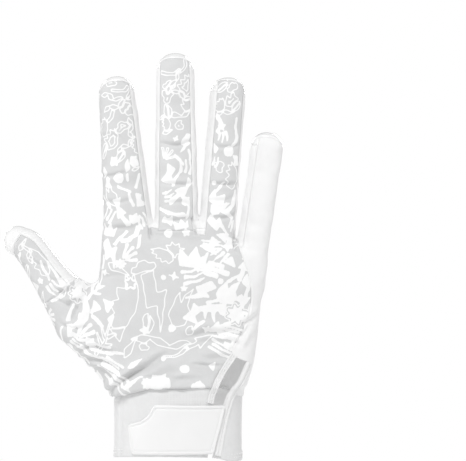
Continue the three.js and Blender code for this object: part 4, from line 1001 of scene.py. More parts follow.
# motif, x, z, width, height, turn in degrees, kind: o an outline, n an outline with more lines inside it,
# f filled, h filled with a thin outline a little way off
markRows = [
    # middle of the hand and its left: large outlines, a few small filled shapes
    ("plume", -31, 90, 17, 36, -12, "o"), ("bolt", -11, 90, 17, 35, 22, "o"),
    ("flame", 2, 86, 13, 24, -14, "o"), ("burst", -2, 119, 12, 10, 10, "o"),
    ("plume", -9, 116, 8, 15, 70, "o"), ("kite", -34, 108, 15, 7, -30, "o"),
    ("star", -27, 100, 8, 8, 0, "o"), ("leaf", -17, 77, 8, 10, 30, "o"), ("pebble", -19, 64, 6, 5, 0, "o"),
    ("wedge", -34, 72, 9, 9, 50, "o"), ("dot", -8, 103, 2.6, 2.6, 0, "f"),
    ("wave", -8, 66, 30, 8, -6, "o"), ("feather", -42, 70, 13, 20, 10, "o"),
    ("arrow", 12, 66, 20, 8, 28, "o"), ("kite", -27, 63, 14, 6, 60, "o"),
    ("puff", -20, 109, 15, 8, 12, "o"), ("star", -18.5, 73, 6, 6, 20, "f"),
    ("wedge", -40, 88, 6, 9, 30, "f"), ("dot", -3, 74, 4.2, 4.2, 0, "f"),
    ("spark", -2, 104, 6, 6, 10, "f"), ("pebble", 7, 73, 5, 5, 0, "o"),
    # upper right and right side: heavy filled shapes
    ("crown", 9, 115, 17, 12, -6, "f"), ("claws", 9, 104, 13, 9, 14, "f"),
    ("comet", 27, 118, 17, 12, 24, "f"), ("bricks", 23, 107, 14, 9, -18, "f"),
    ("arrow", 38, 108, 14, 8, 70, "f"), ("bolt", 14, 94, 11, 18, -52, "f"),
    ("flame", 29, 95, 13, 15, -24, "f"), ("slash", 40, 95, 10, 6, 64, "f"),
    ("drips", 20, 82, 17, 11, 6, "f"), ("burst", 34, 82, 12, 12, 12, "h"),
    ("shard", 9, 83, 9, 11, -20, "f"), ("rake", 30, 71, 18, 8, -14, "f"),
    ("dot", 36, 102, 2.6, 2.6, 0, "f"), ("dot", 19, 99.5, 2.2, 2.2, 0, "f"),
    ("wedge", 41, 120, 6, 7, 10, "f"), ("spark", 17, 73.5, 6, 5, 0, "f"),
    ("claws", 26, 62, 17, 7, -24, "f"), ("slash", 41, 73, 9, 5, -70, "f"),
    ("kite", 42, 85, 7, 3.6, 80, "f"), ("star", 3.5, 97, 4.5, 4.5, 0, "f"),
    ("patch", 17, 108, 7, 6, 30, "f"), ("wedge", 31, 112, 7, 6, -40, "f"),
    ("slash", 22, 90, 11, 5, 10, "f"), ("shard", 37, 90, 8, 7, 60, "f"),
    ("arrow", 24, 75, 14, 7, 196, "f"), ("slash", 12, 76, 9, 4.6, 30, "f"),
    ("burst", 40, 114, 6, 6, 0, "f"), ("crown", 40, 79, 8, 8, 100, "f"),
    ("slash", 33, 103, 9, 4.6, 20, "f"), ("claws", 20, 122, 13, 5, -6, "f"),
    ("flame", 41, 102, 7, 9, -10, "f"), ("bolt", 33, 64, 7, 12, 80, "f"), ("slash", 27, 86, 9, 4, 80, "f"),
    ("dot", 25, 101, 3, 3, 0, "f"), ("spark", 12, 108, 5, 4, 0, "f"),
    # wrist end
    ("patch", -10, 44, 11, 8, 10, "f"), ("dot", 4, 51, 5.4, 4.8, 0, "f"), ("puff", 12, 42, 8, 5, -6, "f"),
    ("slash", -24, 44, 10, 4.4, 26, "f"), ("dot", -8, 57, 2.6, 2.6, 0, "f"),
    ("bend", -1, 60, 15, 5, 4, "o"), ("wedge", 20, 53, 5, 4, 60, "f"),
    # left edge, below the thumb
    ("claws", -45, 61, 17, 9, -20, "f"), ("rake", -38, 52, 15, 9, -34, "f"),
    ("claws", -32, 43, 13, 8, -42, "f"), ("fan", -52, 72, 12, 12, -30, "f"),
    ("bend", -55, 84, 14, 15, 34, "f"), ("burst", -58, 94, 9, 9, 0, "h"),
    ("slash", -62, 83, 10, 5, 62, "f"), ("feather", -48, 98, 10, 15, 8, "f"),
    ("shard", -62, 73, 7, 8, 20, "f"), ("slash", -53, 61, 9, 4, -40, "f"),
    ("kite", -66, 94, 8, 4, 60, "o"), ("spark", -42, 106, 5, 5, 0, "f"),
    # index
    ("bolt", -38, 117, 11, 17, 34, "f"), ("fan", -27, 117, 10, 10, -20, "f"),
    ("bend", -27, 128, 13, 9, 8, "f"), ("crown", -40, 131, 9, 8, -14, "f"),
    ("arrow", -32, 139, 15, 7, 124, "f"), ("slash", -42, 147, 9, 4.4, 118, "f"),
    ("flame", -39, 151, 7, 15, 28, "o"), ("slash", -27, 148, 8, 4, 104, "f"),
    ("dot", -34, 160.5, 5.6, 5.6, 0, "f"), ("wedge", -43, 164, 4, 7, 10, "f"),
    ("kite", -29, 168, 8, 4, 80, "f"), ("patch", -37, 170, 5, 6, 0, "f"),
    ("plume", -39, 183, 10, 13, -10, "n"), ("wave", -30, 179, 10, 5, 40, "o"),
    ("puff", -32, 190, 10, 7, 30, "n"), ("bend", -40, 196, 9, 8, 10, "o"),
    ("flame", -31, 202, 8, 9, 40, "n"), ("wave", -38, 207, 13, 5, -12, "o"),
    ("leaf", -44, 176, 5, 9, 0, "o"), ("pebble", -39, 216, 8, 5, 0, "n"), ("star", -43, 121, 4, 4, 0, "f"),
    ("slash", -33, 126, 11, 4.4, 40, "f"), ("claws", -40, 139, 8, 7, 60, "f"),
    ("patch", -25, 137, 6, 6, 20, "f"), ("slash", -31, 154, 9, 4, -30, "f"),
    ("shard", -41, 158, 5, 6, 0, "f"), ("slash", -29, 161, 5, 3.4, 80, "f"),
    ("wedge", -35, 147, 6, 5, 60, "f"), ("plume", -44, 190, 7, 12, 0, "o"),
    ("leaf", -33, 173, 7, 6, 20, "o"), ("wave", -36, 202, 13, 5, 24, "o"),
    ("bend", -33, 212, 11, 6, -14, "o"), ("slash", -22, 124, 8, 4, 70, "f"),
    ("burst", -33, 111, 7, 6, 0, "f"), ("slash", -44, 112, 8, 4, 84, "f"),
    # middle
    ("wave", 0, 197, 19, 6, 14, "o"), ("pebble", 1, 191, 5, 5, 0, "n"), ("puff", -6, 208, 9, 8, 60, "n"),
    ("plume", 4, 214, 9, 15, -14, "n"), ("bend", -4, 222, 12, 7, -20, "o"),
    ("kite", -6, 187, 7, 4, 20, "o"), ("bolt", 5, 180, 7, 12, -14, "f"), ("fan", -6, 175, 8, 8, 0, "o"),
    ("claws", 5, 167, 8, 8, 84, "f"), ("shard", -5, 163, 8, 11, -8, "f"),
    ("arrow", 1, 151, 16, 8, 42, "f"), ("bend", -3, 141, 16, 6, -32, "f"),
    ("dot", -5.5, 128.5, 5, 5, 0, "f"), ("star", 5, 129, 5, 5, 8, "f"), ("slash", 6, 141, 7, 4, 74, "f"),
    ("wedge", 7, 158, 4, 6, 0, "f"), ("dot", -7, 152, 2, 2, 0, "f"), ("spark", -1, 183, 4, 4, 0, "f"),
    ("slash", -1, 160, 9, 4, 58, "f"), ("claws", -5, 150, 7, 7, 20, "f"), ("crown", 2, 134, 9, 6, 10, "f"),
    ("patch", 5, 147, 5, 5, 0, "f"), ("slash", 1, 171, 8, 3.6, -50, "f"),
    ("shard", -6, 136, 6, 6, 80, "f"), ("flame", 5, 203, 8, 8, 60, "o"), ("leaf", -6, 199, 7, 7, 60, "o"),
    ("bend", 3, 225, 10, 6, 30, "n"), ("puff", -5, 214, 8, 6, 0, "o"), ("plume", -7, 192, 6, 9, 20, "o"),
    ("wave", 3, 208, 12, 4, -20, "o"), ("wave", -2, 216, 13, 4, 60, "o"),
    ("slash", 7, 174, 6, 3.4, 90, "f"),
    # ring
    ("comet", 26, 187, 11, 9, 70, "f"), ("slash", 34, 191, 9, 3.6, 84, "f"),
    ("dot", 29.5, 176, 5.6, 6.4, 0, "f"), ("wedge", 22, 178, 3, 6, 10, "f"),
    ("plume", 31, 162, 9, 16, 8, "o"), ("puff", 24, 167, 6, 7, 60, "o"),
    ("crown", 24, 148, 12, 9, -40, "f"), ("bend", 31, 146, 12, 8, 24, "f"),
    ("bolt", 24, 134, 9, 15, 60, "f"), ("rake", 34, 133, 9, 8, 66, "f"),
    ("shard", 20, 122, 8, 9, -20, "f"), ("flame", 31, 206, 9, 9, 20, "n"),
    ("wave", 29, 199, 13, 5, 20, "o"), ("leaf", 25, 213, 8, 6, 0, "o"), ("dot", 21, 158, 2.4, 2.4, 0, "f"),
    ("spark", 35, 122, 4, 4, 0, "f"), ("slash", 33, 150, 8, 4, 66, "f"),
    ("slash", 28, 140, 11, 4.4, -34, "f"), ("patch", 21, 142, 5, 6, 0, "f"),
    ("arrow", 28, 126, 12, 6, 160, "f"), ("slash", 24, 155, 9, 4, 40, "f"),
    ("bend", 23, 192, 9, 7, 60, "f"), ("shard", 34, 171, 5, 7, 20, "f"), ("claws", 21, 170, 6, 6, 70, "f"),
    ("plume", 24, 203, 7, 9, -10, "o"), ("puff", 32, 213, 8, 6, 30, "o"), ("bend", 33, 183, 8, 6, 40, "f"),
    ("leaf", 34, 202, 6, 6, 0, "o"),
    # thumb
    ("plume", -81, 112, 9, 20, 40, "o"), ("kite", -90, 122, 9, 4, 60, "o"),
    ("slash", -72, 107, 13, 4, 118, "f"), ("claws", -72, 97, 8, 7, -40, "f"),
    ("star", -80, 101, 4, 4, 0, "f"), ("spark", -93, 116, 3, 3, 0, "f"),
    ("slash", -77, 107, 12, 3.6, 112, "f"), ("patch", -66, 100, 6, 7, 30, "f"),
    ("wave", -87, 117, 11, 4, 110, "o"), ("flame", -63, 104, 7, 8, 40, "f"),
    ("slash", -70, 91, 8, 4, 20, "f"), ("leaf", -57, 102, 8, 8, 60, "o"), ("wedge", -47, 86, 6, 7, 0, "f"),
    ("claws", -58, 66, 9, 6, -30, "f"), ("slash", -46, 78, 10, 4.4, -50, "f"),
    ("patch", -50, 66, 6, 5, 0, "f"),
    # round the thumb side of the hand and the outer side of the index
    ("slash", -43, 38, 8, 4, -60, "f"), ("patch", -51, 46, 7, 6, 20, "f"),
    ("claws", -58, 54, 11, 7, -40, "f"), ("shard", -65, 62, 7, 8, 30, "f"),
    ("slash", -69, 71, 9, 4, 60, "f"), ("fan", -76, 80, 9, 9, -60, "f"), ("star", -71, 65, 4, 4, 0, "f"),
    ("kite", -80, 91, 9, 4, 70, "o"), ("wedge", -85, 98, 6, 7, 20, "f"),
    ("dot", -79, 87, 2.6, 2.6, 0, "f"), ("leaf", -90, 106, 8, 7, 30, "o"),
    ("slash", -94, 114, 8, 3.6, 50, "f"), ("slash", -51, 112, 8, 4, 80, "f"),
    ("claws", -52, 124, 8, 6, 50, "f"), ("patch", -52, 135, 5, 6, 0, "f"),
    ("slash", -52, 146, 8, 4, 60, "f"), ("shard", -52, 157, 5, 7, 20, "f"),
    ("plume", -52, 171, 7, 12, 0, "o"), ("leaf", -52, 183, 6, 6, 40, "o"),
    ("wave", -51, 195, 10, 5, 80, "o"), ("bend", -51, 206, 8, 6, 20, "o"),
    ("crown", -54, 101, 8, 8, -30, "f"), ("bend", -58, 78, 9, 8, 10, "f"),
    # right edge of the index
    ("shard", -22, 148, 6, 8, 20, "f"), ("claws", -20, 136, 8, 7, 120, "f"),
    ("slash", -23, 159, 9, 4, 70, "f"), ("patch", -25, 170, 5, 6, 10, "f"),
    ("plume", -24, 180, 7, 11, 20, "o"), ("wave", -27, 190, 10, 5, 100, "o"),
    ("puff", -27, 199, 7, 7, 0, "o"), ("leaf", -27, 209, 5, 7, 0, "o"), ("kite", -24, 166, 6, 3, 20, "o"),
    ("slash", -36, 60, 10, 4, -10, "f"), ("kite", -24, 54, 10, 4.4, 30, "f"),
    ("burst", -17, 43, 7, 6, 0, "f"), ("slash", -40, 45, 8, 4, -50, "f"),
]


# Every point's distance to the outlines, to the nested ones and to the filled shapes. The print runs on round
# the sides: to X is added roll (angle of the normal - its sine). The points are then moved into each motif's
# own turned frame, for the distance to its shapes. Outlines of later motifs hide earlier ones; filled motifs
# join by taking the least distance
def markFields(v):
    p, n = placeAndNormal(v)
    p = p + np.outer(marks["roll"] * (np.arctan2(n[:, 0], np.maximum(-n[:, 1], -.6)) - n[:, 0]), [1, 0, 0])
    flat = p * [1, .2, 1]
    wobble = np.stack([waves(flat, marks["wobbleSize"], seed) for seed in (21, 22)], 1)
    q = p[:, [0, 2]] + marks["wobble"] * wobble
    ragged = marks["ragged"] * waves(flat, marks["raggedSize"], 23)
    outline, nested, filled = (np.full(len(p), 9.0) for _ in range(3))
    for name, x, z, width, height, turn, kind in markRows:
        reach = max(width, height) * .75 + 3
        near = np.flatnonzero((np.abs(q[:, 0] - x) < reach) & (np.abs(q[:, 1] - z) < reach))
        if not len(near):
            continue
        c, s = math.cos(math.radians(turn)), math.sin(math.radians(turn))
        local = (q[near] - [x, z]) @ np.array([[c, -s], [s, c]])
        sized = [(np.asarray(shape) - .5) * [width, height] for shape in motifs[name]]
        shapes = [roundCorners(shape, marks["corner"], 4) for shape in sized]
        best = np.minimum.reduce([outlineDistance(local, shape) for shape in shapes])
        if kind in "on":
            outline[near] = np.maximum(outline[near], marks["gap"] - best)
            nested[near] = np.maximum(nested[near], marks["gap"] - best)
        target = {"o": outline, "n": nested, "f": filled, "h": filled}[kind]
        target[near] = np.minimum(target[near], best + (ragged[near] - marks["swell"] if kind in "fh" else 0))
        if kind == "h":
            outline[near] = np.minimum(outline[near], best - marks["halo"])
    return {"outline": outline, "nested": nested, "filled": filled}


# A number that varies over a surface; arithmetic on it adds Math nodes
class ShaderNumber:
    def __init__(self, finish, socket):
        self.finish, self.socket = finish, socket

    def math(self, operation, *others, swapped=False):
        values = [*others, self] if swapped else [self, *others]
        made = self.finish.node("ShaderNodeMath", {"operation": operation}, dict(enumerate(values)))
        return ShaderNumber(self.finish, made.outputs[0])

    def __add__(self, other):
        return self.math("ADD", other)

    def __sub__(self, other):
        return self.math("SUBTRACT", other)

    def __rsub__(self, other):
        return self.math("SUBTRACT", other, swapped=True)

    def __mul__(self, other):
        return self.math("MULTIPLY", other)

    def __truediv__(self, other):
        return self.math("DIVIDE", other)

    def __rtruediv__(self, other):
        return self.math("DIVIDE", other, swapped=True)

    def __abs__(self):
        return self.math("ABSOLUTE")

    __radd__, __rmul__ = __add__, __mul__

    def sine(self):
        return self.math("SINE")

    def greater(self, other):
        return self.math("MAXIMUM", other)

    def held(self):
        return self.math("MINIMUM", 1.0).math("MAXIMUM", 0.0)


# The nodes of a material or a world
class NodeTree:
    def __init__(self, owner):
        owner.use_nodes = True
        self.tree = owner.node_tree
        self.tree.nodes.clear()

    # A node of a kind, its settings first and then the values or links of its sockets
    def node(self, kind, settings=None, sockets=None):
        made = self.tree.nodes.new(kind)
        for key, value in (settings or {}).items():
            setattr(made, key, value)
        for key, value in (sockets or {}).items():
            name = key.replace("_", " ") if isinstance(key, str) else key
            source = value.socket if isinstance(value, ShaderNumber) else value
            if isinstance(source, bpy.types.NodeSocket):
                self.tree.links.new(source, made.inputs[name])
            else:
                made.inputs[name].default_value = source
        return made


# One material: its nodes, and the shader that they feed
class Finish(NodeTree):
    def __init__(self, name, **settings):
        self.material = bpy.data.materials.new(name)
        super().__init__(self.material)
        self.shader = self.node("ShaderNodeBsdfPrincipled", {}, settings)
        self.node("ShaderNodeOutputMaterial", {}, {"Surface": self.shader.outputs[0]})
        self.place = self.node("ShaderNodeTexCoord").outputs["Object"]

    def number(self, socket):
        return ShaderNumber(self, socket)

    def attribute(self, name):
        return self.number(self.node("ShaderNodeAttribute", {"attribute_name": name}).outputs["Fac"])

    def axes(self):
        parts = self.node("ShaderNodeSeparateXYZ", {}, {0: self.place})
        return [self.number(parts.outputs[k]) for k in range(3)]

    def noise(self, scale, detail):
        made = self.node("ShaderNodeTexNoise", {}, {"Vector": self.place, "Scale": scale, "Detail": detail})
        return self.number(made.outputs["Fac"])

    def blend(self, factor, one, two):
        sockets = {0: factor, 6: one, 7: two}
        return self.node("ShaderNodeMix", {"data_type": "RGBA"}, sockets).outputs[2]

    def feed(self, **sockets):
        for key, value in sockets.items():
            source = value.socket if isinstance(value, ShaderNumber) else value
            self.tree.links.new(source, self.shader.inputs[key.replace("_", " ")])

    # A relief, its height 1 as deep as the depth in metres
    def emboss(self, height, strength, depth):
        bump = self.node("ShaderNodeBump", {}, {"Strength": strength, "Distance": depth, "Height": height})
        self.tree.links.new(bump.outputs[0], self.shader.inputs["Normal"])


# A grey, a little bluer for a tint above zero
def grey(value, tint=0.0):
    return (value - tint, value, value + tint * .6, 1.0)


# The lining's grey tone and its glow are set together for how bright the shaded inside of the slit and cuff
# looks: painted shade and painted light
knit = {
    "ground": .65, "groundTint": .003, "white": .93, "plain": .87, "lining": .7, "liningPaintedGlow": .145,
    "course": 1150, "liningCourse": 800, "liningRoughness": .85, "grain": .00009,
}


# The courses of a fine knit: crossing waves in X and Z, broken up a little
def knitRelief(f, course):
    x, y, z = f.axes()
    diagonal = ((x * .8 + z + y * .5) * (course * 2 * math.pi)).sine()
    across = ((x - z * .8 - y * .5) * (course * 2 * math.pi)).sine()
    return diagonal * .3 + across * .2 + f.noise(2600, 2) * .8


# Grey knit with the white print: thin lines along outlines and within the nested ones, and filled shapes
def printedKnit():
    f = Finish("printed_knit", Roughness=.72, Specular_IOR_Level=.28)
    outline, nested, filled = f.attribute("outline"), f.attribute("nested"), f.attribute("filled")
    step = marks["nest"]
    inner = nested.math("PINGPONG", step / 2).greater((nested - step * .3) * 4)
    thin, nestLine, solid = (((width - away) / (2 * marks["edge"]) + .5).held() for width, away in (
        (marks["line"], abs(outline)), (marks["line"], inner), (0, filled)))
    mask = thin.greater(nestLine).greater(solid)
    shade = f.noise(160, 4) * .5 + f.noise(1800, 2) * .5
    dark, light = (grey(knit["ground"] + change, knit["groundTint"]) for change in (-.05, .06))
    ground = f.blend(shade, dark, light)
    white = f.blend(f.noise(420, 3), grey(knit["white"] - .05), grey(knit["white"] + .02))
    f.feed(Base_Color=f.blend(mask * .97, ground, white), Roughness=.74 - mask * .16)
    f.emboss(knitRelief(f, knit["course"]) * (1 - mask * .5) + mask * .9, .5, knit["grain"])
    return f.material


# White stretch knit. The lining's glow is painted light: it lifts the shaded inside of the slit and cuff, in
# place of the light that comes through the thin cloth
def whiteKnit(name, tone, course, rough=.75, paintedGlow=0.0):
    f = Finish(name, Specular_IOR_Level=.3, Sheen_Weight=.15, Sheen_Roughness=.5, Emission_Strength=paintedGlow,
               Emission_Color=grey(1.0))
    f.feed(Base_Color=f.blend(f.noise(260, 3), grey(tone - .025), grey(tone + .02)),
           Roughness=rough + f.noise(900, 2) * .1)
    f.emboss(knitRelief(f, course), .55, knit["grain"])
    return f.material


coat = {"tone": .885, "roughness": .15, "coat": .75, "course": 900, "grain": .00022}


# A clear tacky coat over fabric: shiny, with a faint pebble and slow ripples
def coatedPalm():
    f = Finish("tacky_palm", Specular_IOR_Level=.55, Coat_Roughness=.05, IOR=1.45)
    patch = f.noise(38, 4)
    f.feed(Base_Color=f.blend(patch, grey(coat["tone"] - .03), grey(coat["tone"] + .04)),
           Roughness=coat["roughness"] + f.noise(95, 3) * .16, Coat_Weight=coat["coat"] * (.6 + patch * .6))
    pebbles = f.noise(1500, 2) * .35 + f.noise(210, 3) * 1.6
    f.emboss(pebbles + knitRelief(f, coat["course"]) * .25, .5, coat["grain"])
    return f.material


elastic = {
    "ribs": 190.0, "rows": 5200.0, "dark": .71, "light": .8, "tint": .002, "roughness": .8, "grain": .0001,
}


# Elastic knit: narrow upright ribs round the wrist, crossed by faint rows
def elasticKnit():
    f = Finish("elastic_knit", Specular_IOR_Level=.25, Sheen_Weight=.1)
    x, y, z = f.axes()
    ribs = (y.math("ARCTAN2", x) * elastic["ribs"]).sine()
    rows = (z * elastic["rows"]).sine()
    shade = f.noise(300, 3) * .8 + (ribs * .07 + .07)
    dark, light = (grey(elastic[name], elastic["tint"]) for name in ("dark", "light"))
    f.feed(Base_Color=f.blend(shade, dark, light), Roughness=elastic["roughness"] + ribs * .05)
    f.emboss(ribs * .45 + rows * .25 + f.noise(1600, 2) * .4, .45, elastic["grain"])
    return f.material


rubber = {"dark": .83, "light": .87, "roughness": .42, "grain": .00008}


# Soft matt rubber
def mouldedStrap():
    f = Finish("moulded_strap", Specular_IOR_Level=.4)
    f.feed(Base_Color=f.blend(f.noise(90, 3), grey(rubber["dark"]), grey(rubber["light"])),
           Roughness=rubber["roughness"] + f.noise(500, 3) * .12)
    f.emboss(f.noise(2400, 2) * .5 + f.noise(160, 3) * .5, .35, rubber["grain"])
    return f.material


weave = {"ribs": 9000.0, "slant": .45, "dark": .8, "light": .9, "roughness": .72, "grain": .00008}


# Woven tape: ridges across its length
def wovenTape():
    f = Finish("binding_tape", Specular_IOR_Level=.3, Sheen_Weight=.1)
    x, _, z = f.axes()
    ribs = ((z - x * weave["slant"]) * weave["ribs"]).sine()
    shade = ribs * .25 + f.noise(700, 2) * .5
    f.feed(Base_Color=f.blend(shade, grey(weave["dark"]), grey(weave["light"])),
           Roughness=weave["roughness"] + ribs * .06)
    f.emboss(ribs * .7 + f.noise(2000, 2) * .4, .5, weave["grain"])
    return f.material


thread = {"twist": 16000.0, "dark": .86, "light": .95, "roughness": .5, "grain": .00004}


# Two plies twisted together
def sewingThread():
    f = Finish("sewing_thread", Specular_IOR_Level=.4)
    x, _, z = f.axes()
    twist = ((z + x) * thread["twist"]).sine()
    f.feed(Base_Color=f.blend(f.noise(900, 2), grey(thread["dark"]), grey(thread["light"])),
           Roughness=thread["roughness"] + twist * .08)
    f.emboss(twist, .5, thread["grain"])
    return f.material


finishes = {
    "print": printedKnit(), "knit": whiteKnit("plain_knit", knit["plain"], knit["course"]),
    "palm": coatedPalm(),
    # inner sides and cut edges of every piece: grey lining with a painted glow, painted light in the shaded
    # inside
    "lining": whiteKnit("inner_lining", knit["lining"], knit["liningCourse"], knit["liningRoughness"],
                        knit["liningPaintedGlow"]),
    "cuff": elasticKnit(), "strap": mouldedStrap(), "tape": wovenTape(), "thread": sewingThread(),
}
print("finishes ready")

# finish, slot, and the solids that a panel stands for besides its own
panelFinish = {
    "back_panel": ("print", "printed_knit", ["back_wrist", "back_thumb_root", "back_index", "back_ring"]),
    "middle_finger_back": ("print", "printed_knit", []), "thumb_back": ("print", "printed_knit", []),
    "side_panel": ("knit", "plain_knit", []), "gusset_index_middle": ("knit", "plain_knit", []),
    "gusset_middle_ring": ("knit", "plain_knit", []), "gusset_ring_little": ("knit", "plain_knit", []),
    "palm_panel": ("palm", "tacky_palm", [
        "palm_heel", "palm_knuckles", "palm_thumb", "palm_index", "palm_middle", "palm_ring", "palm_little"]),
}
for name, (finish, slot, others) in panelFinish.items():
    v, t = compact(data, panels[name])
    body, faces, kind = thicken(panelSurface(v, name), t, glove["wall"])
    printFields = markFields(v) if finish == "print" else None
    materials = [finishes[finish], finishes["lining"]]
    makePiece(name + "_cloth", body, faces, materials, [name, *others], kind, printFields)
    print("piece", name, len(faces), "triangles")

v, t = compact(data, cuffTriangles)
body, faces, kind = thicken(cuffSurface(v), t, relief["cuffWall"])
materials = [finishes["cuff"], finishes["lining"]]
makePiece("cuff_knit", body, faces, materials, ["cuff_band"], kind)
print("piece cuff", len(faces), "triangles")

# The strap is a moulded tab over the front of the cuff, thick at its rim, and its outer end lies at the slit
strap = {
    "length": 53.0, "height": 30.0, "hemInset": 1.8, "under": .15, "thickness": 1.95, "corner": 1.8,
    "edge": .8, "edgeHeight": .35, "slitGap": .3, "slitEnd": .2, "grid": .42,
    "rimHeight": .32, "rimAt": 1.0, "rimWidth": .42, "rimGroove": .34, "grooveAt": 2.1, "grooveWidth": .4,
    "lineUp": 3.3, "lineWidth": .28, "lineDepth": .3, "lineFrom": .6,
    "tackAt": (19.1, 6.2), "tackLength": 1.3, "tackWidth": .45, "tackEnd": .3162, "tackDepth": .45,
    "uneven": .22, "unevenSize": 24,
}
# along from the sewn end, up
strapRows = np.array([(0, 1), (.76, 1.02), (.825, .8), (.9, .69), (1.04, .61), (1, 0), (.145, .015)])


# Vectors at length one
def unit(v):
    return v / np.maximum(np.linalg.norm(v, axis=-1), 1e-9)[..., None]


# The front of the wrist or hand at points in X and Z: Newton's rule along Y alone
def frontOf(x, z, start=-24.0):
    p = np.column_stack([x, np.full(len(x), start), z])
    for _ in range(8):
        value = handDistance(p)
        slope = (handDistance(p + [0, .1, 0]) - value) / .1
        p[:, 1] -= np.clip(value / np.where(np.abs(slope) < .08, -.08, slope), -4, 4)
    return p


# The strap's outline is cut from a grid. Its edge rises as a quarter circle to its thickness, with a ridge
# and a groove beside it all round, a sunk line along the hem and a short sunk tack
def strapPiece():
    s = strap
    along, up = strapRows.T
    z = s["hemInset"] + up * (s["height"] - s["hemInset"])
    corner = slitLines(np.array([s["height"]]))[1][0] - s["slitGap"]
    x = np.where(along < s["slitEnd"], slitLines(z)[1] - s["slitGap"], corner - s["length"] * along)
    outline = roundCorners(np.column_stack([x, z]), s["corner"])
    axes = [np.arange(line.min() - 1, line.max() + 1, s["grid"]) for line in (x, z)]
    q = np.stack(np.meshgrid(*axes, indexing="ij"), -1).reshape(-1, 2)
    wide, high = (len(axis) for axis in axes)
    at = (np.arange(wide - 1)[:, None] * high + np.arange(high - 1)).ravel()
    quads = np.stack([at, at + high, at + high + 1, at + 1], 1)
    faces = np.vstack([quads[:, [0, 1, 2]], quads[:, [0, 2, 3]]])
    values, inner, _ = cutMesh(np.column_stack([q, outlineDistance(q, outline)]), faces, 2)
    values, inner = compact(values, inner)
    base = frontOf(values[:, 0], values[:, 1])
    normal = unit(gradientOf(handDistance, base))
    d = np.maximum(-values[:, 2], 0)
    rounded = np.sqrt(np.clip(1 - np.clip(1 - d / s["edge"], 0, 1) ** 2, 0, 1))
    height = s["under"] + s["edgeHeight"] + (s["thickness"] - s["edgeHeight"] - s["under"]) * rounded
    height += s["rimHeight"] * bell(d - s["rimAt"], s["rimWidth"])
    height -= s["rimGroove"] * bell(d - s["grooveAt"], s["grooveWidth"])
    height -= s["lineDepth"] * bell(values[:, 1] - s["lineUp"], s["lineWidth"]) * (d > s["lineFrom"])
    tackX, tackZ = values[:, 0] - s["tackAt"][0], np.abs(values[:, 1] - s["tackAt"][1])
    tackEnds = bell(np.maximum(tackZ - s["tackLength"], 0), s["tackEnd"])
    height -= s["tackDepth"] * bell(tackX, s["tackWidth"]) * tackEnds
    height += s["uneven"] * waves(base, s["unevenSize"], 31)
    top = base + normal * height[:, None]
    _, faces, kind = thicken(top, inner, 0)
    return np.vstack([top, base + normal * s["under"]]), faces, np.where(kind == 2, 0, kind)


body, faces, kind = strapPiece()
materials = [finishes["strap"], finishes["lining"]]
makePiece("wrist_strap_tab", body, faces, materials, ["wrist_strap"], kind)
print("piece strap", len(faces), "triangles")

# The slit's two tapes are each folded over an edge of it: a section carried up the edge, every point of it at
# a height over the surface below. Each edge goes from a lowest to a highest place
tape = {"stations": 110, "uneven": .12, "unevenSize": 9, "back": (30.9, 57.6), "side": (1.6, 54.6)}
# across from the slit's edge, height over the surface
tapeSections = {
    "back": [
        (3.85, -.3), (3.8, .1), (3.6, .42), (3.3, .6), (2.95, .46), (2.65, .1), (2.35, .4), (2.0, .66),
        (1.7, .42), (1.4, .12), (1.1, .44), (.7, .7), (.3, .56), (0, .1), (-.1, -.7), (0, -1.6), (.8, -2.0),
        (2.3, -1.9), (3.4, -1.3)],
    "side": [
        (4.9, -.3), (4.85, .1), (4.6, .4), (4.15, .7), (3.65, .78), (3.2, .66), (2.95, .36), (2.7, .2),
        (2.45, .4), (2.0, .7), (1.4, .82), (.8, .76), (.3, .56), (0, .1), (-.1, -.6), (.1, -1.3), (.9, -1.8),
        (2.7, -1.8), (4.2, -1.3)],
}


# The edge of the slit on the surface, from low to high, its ends a little inside the fabric around
def slitEdge(side):
    z = np.linspace(*tape[side], tape["stations"])
    return frontOf(slitLines(z)[0 if side == "back" else 1], z, -20.0)


# Points at a distance across from an edge of the slit, away from it: a step along cross(normal, way), turned
# that way round, then settled onto the surface
def besideEdge(edge, across, side):
    way = unit(np.gradient(edge, axis=0))
    normal = unit(gradientOf(handDistance, edge))
    out = unit(np.cross(normal, way))
    out *= np.sign((out[:, :1] * (-1 if side == "back" else 1)).sum())
    p = settle(handDistance, edge + out * max(across, 0), 3) + out * min(across, 0)
    return p, unit(gradientOf(handDistance, p))


# Faces of a tube of rings, its ends closed by a point each, which are numbered after the rings' own points
def tubeFaces(rings, around):
    ring, start = np.arange(around), np.arange(rings - 1)[:, None] * around
    after = (ring + 1) % around
    a, b = (start + ring).ravel(), (start + after).ravel()
    low, high = np.full(around, rings * around), np.full(around, rings * around + 1)
    last = (rings - 1) * around
    return np.vstack([
        np.stack([a, b, b + around], 1), np.stack([a, b + around, a + around], 1),
        np.stack([low, after, ring], 1), np.stack([high, last + ring, last + after], 1)])


# A section of the tape at every place along the edge, its points at their distances across
def tapePiece(side):
    edge = slitEdge(side)
    rings = []
    for across, height in tapeSections[side]:
        p, normal = besideEdge(edge, across, side)
        rings.append(p + normal * (height + tape["uneven"] * waves(p, tape["unevenSize"], 41)[:, None]))
    grid = np.stack(rings, axis=1)
    points = np.vstack([grid.reshape(-1, 3), grid[0].mean(0), grid[-1].mean(0)])
    return points, outwards(points, tubeFaces(*grid.shape[:2]))


# Faces turned round if the closed body they make has a volume below zero
def outwards(points, faces):
    a, b, c = (points[faces[:, k]] for k in range(3))
    return faces if (a * np.cross(b, c)).sum() > 0 else faces[:, ::-1]


for side in tapeSections:
    body, faces = tapePiece(side)
    makePiece("slit_tape_" + side, body, faces, [finishes["tape"]], ["slit_binding_" + side])
    print("piece tape", side, len(faces), "triangles")

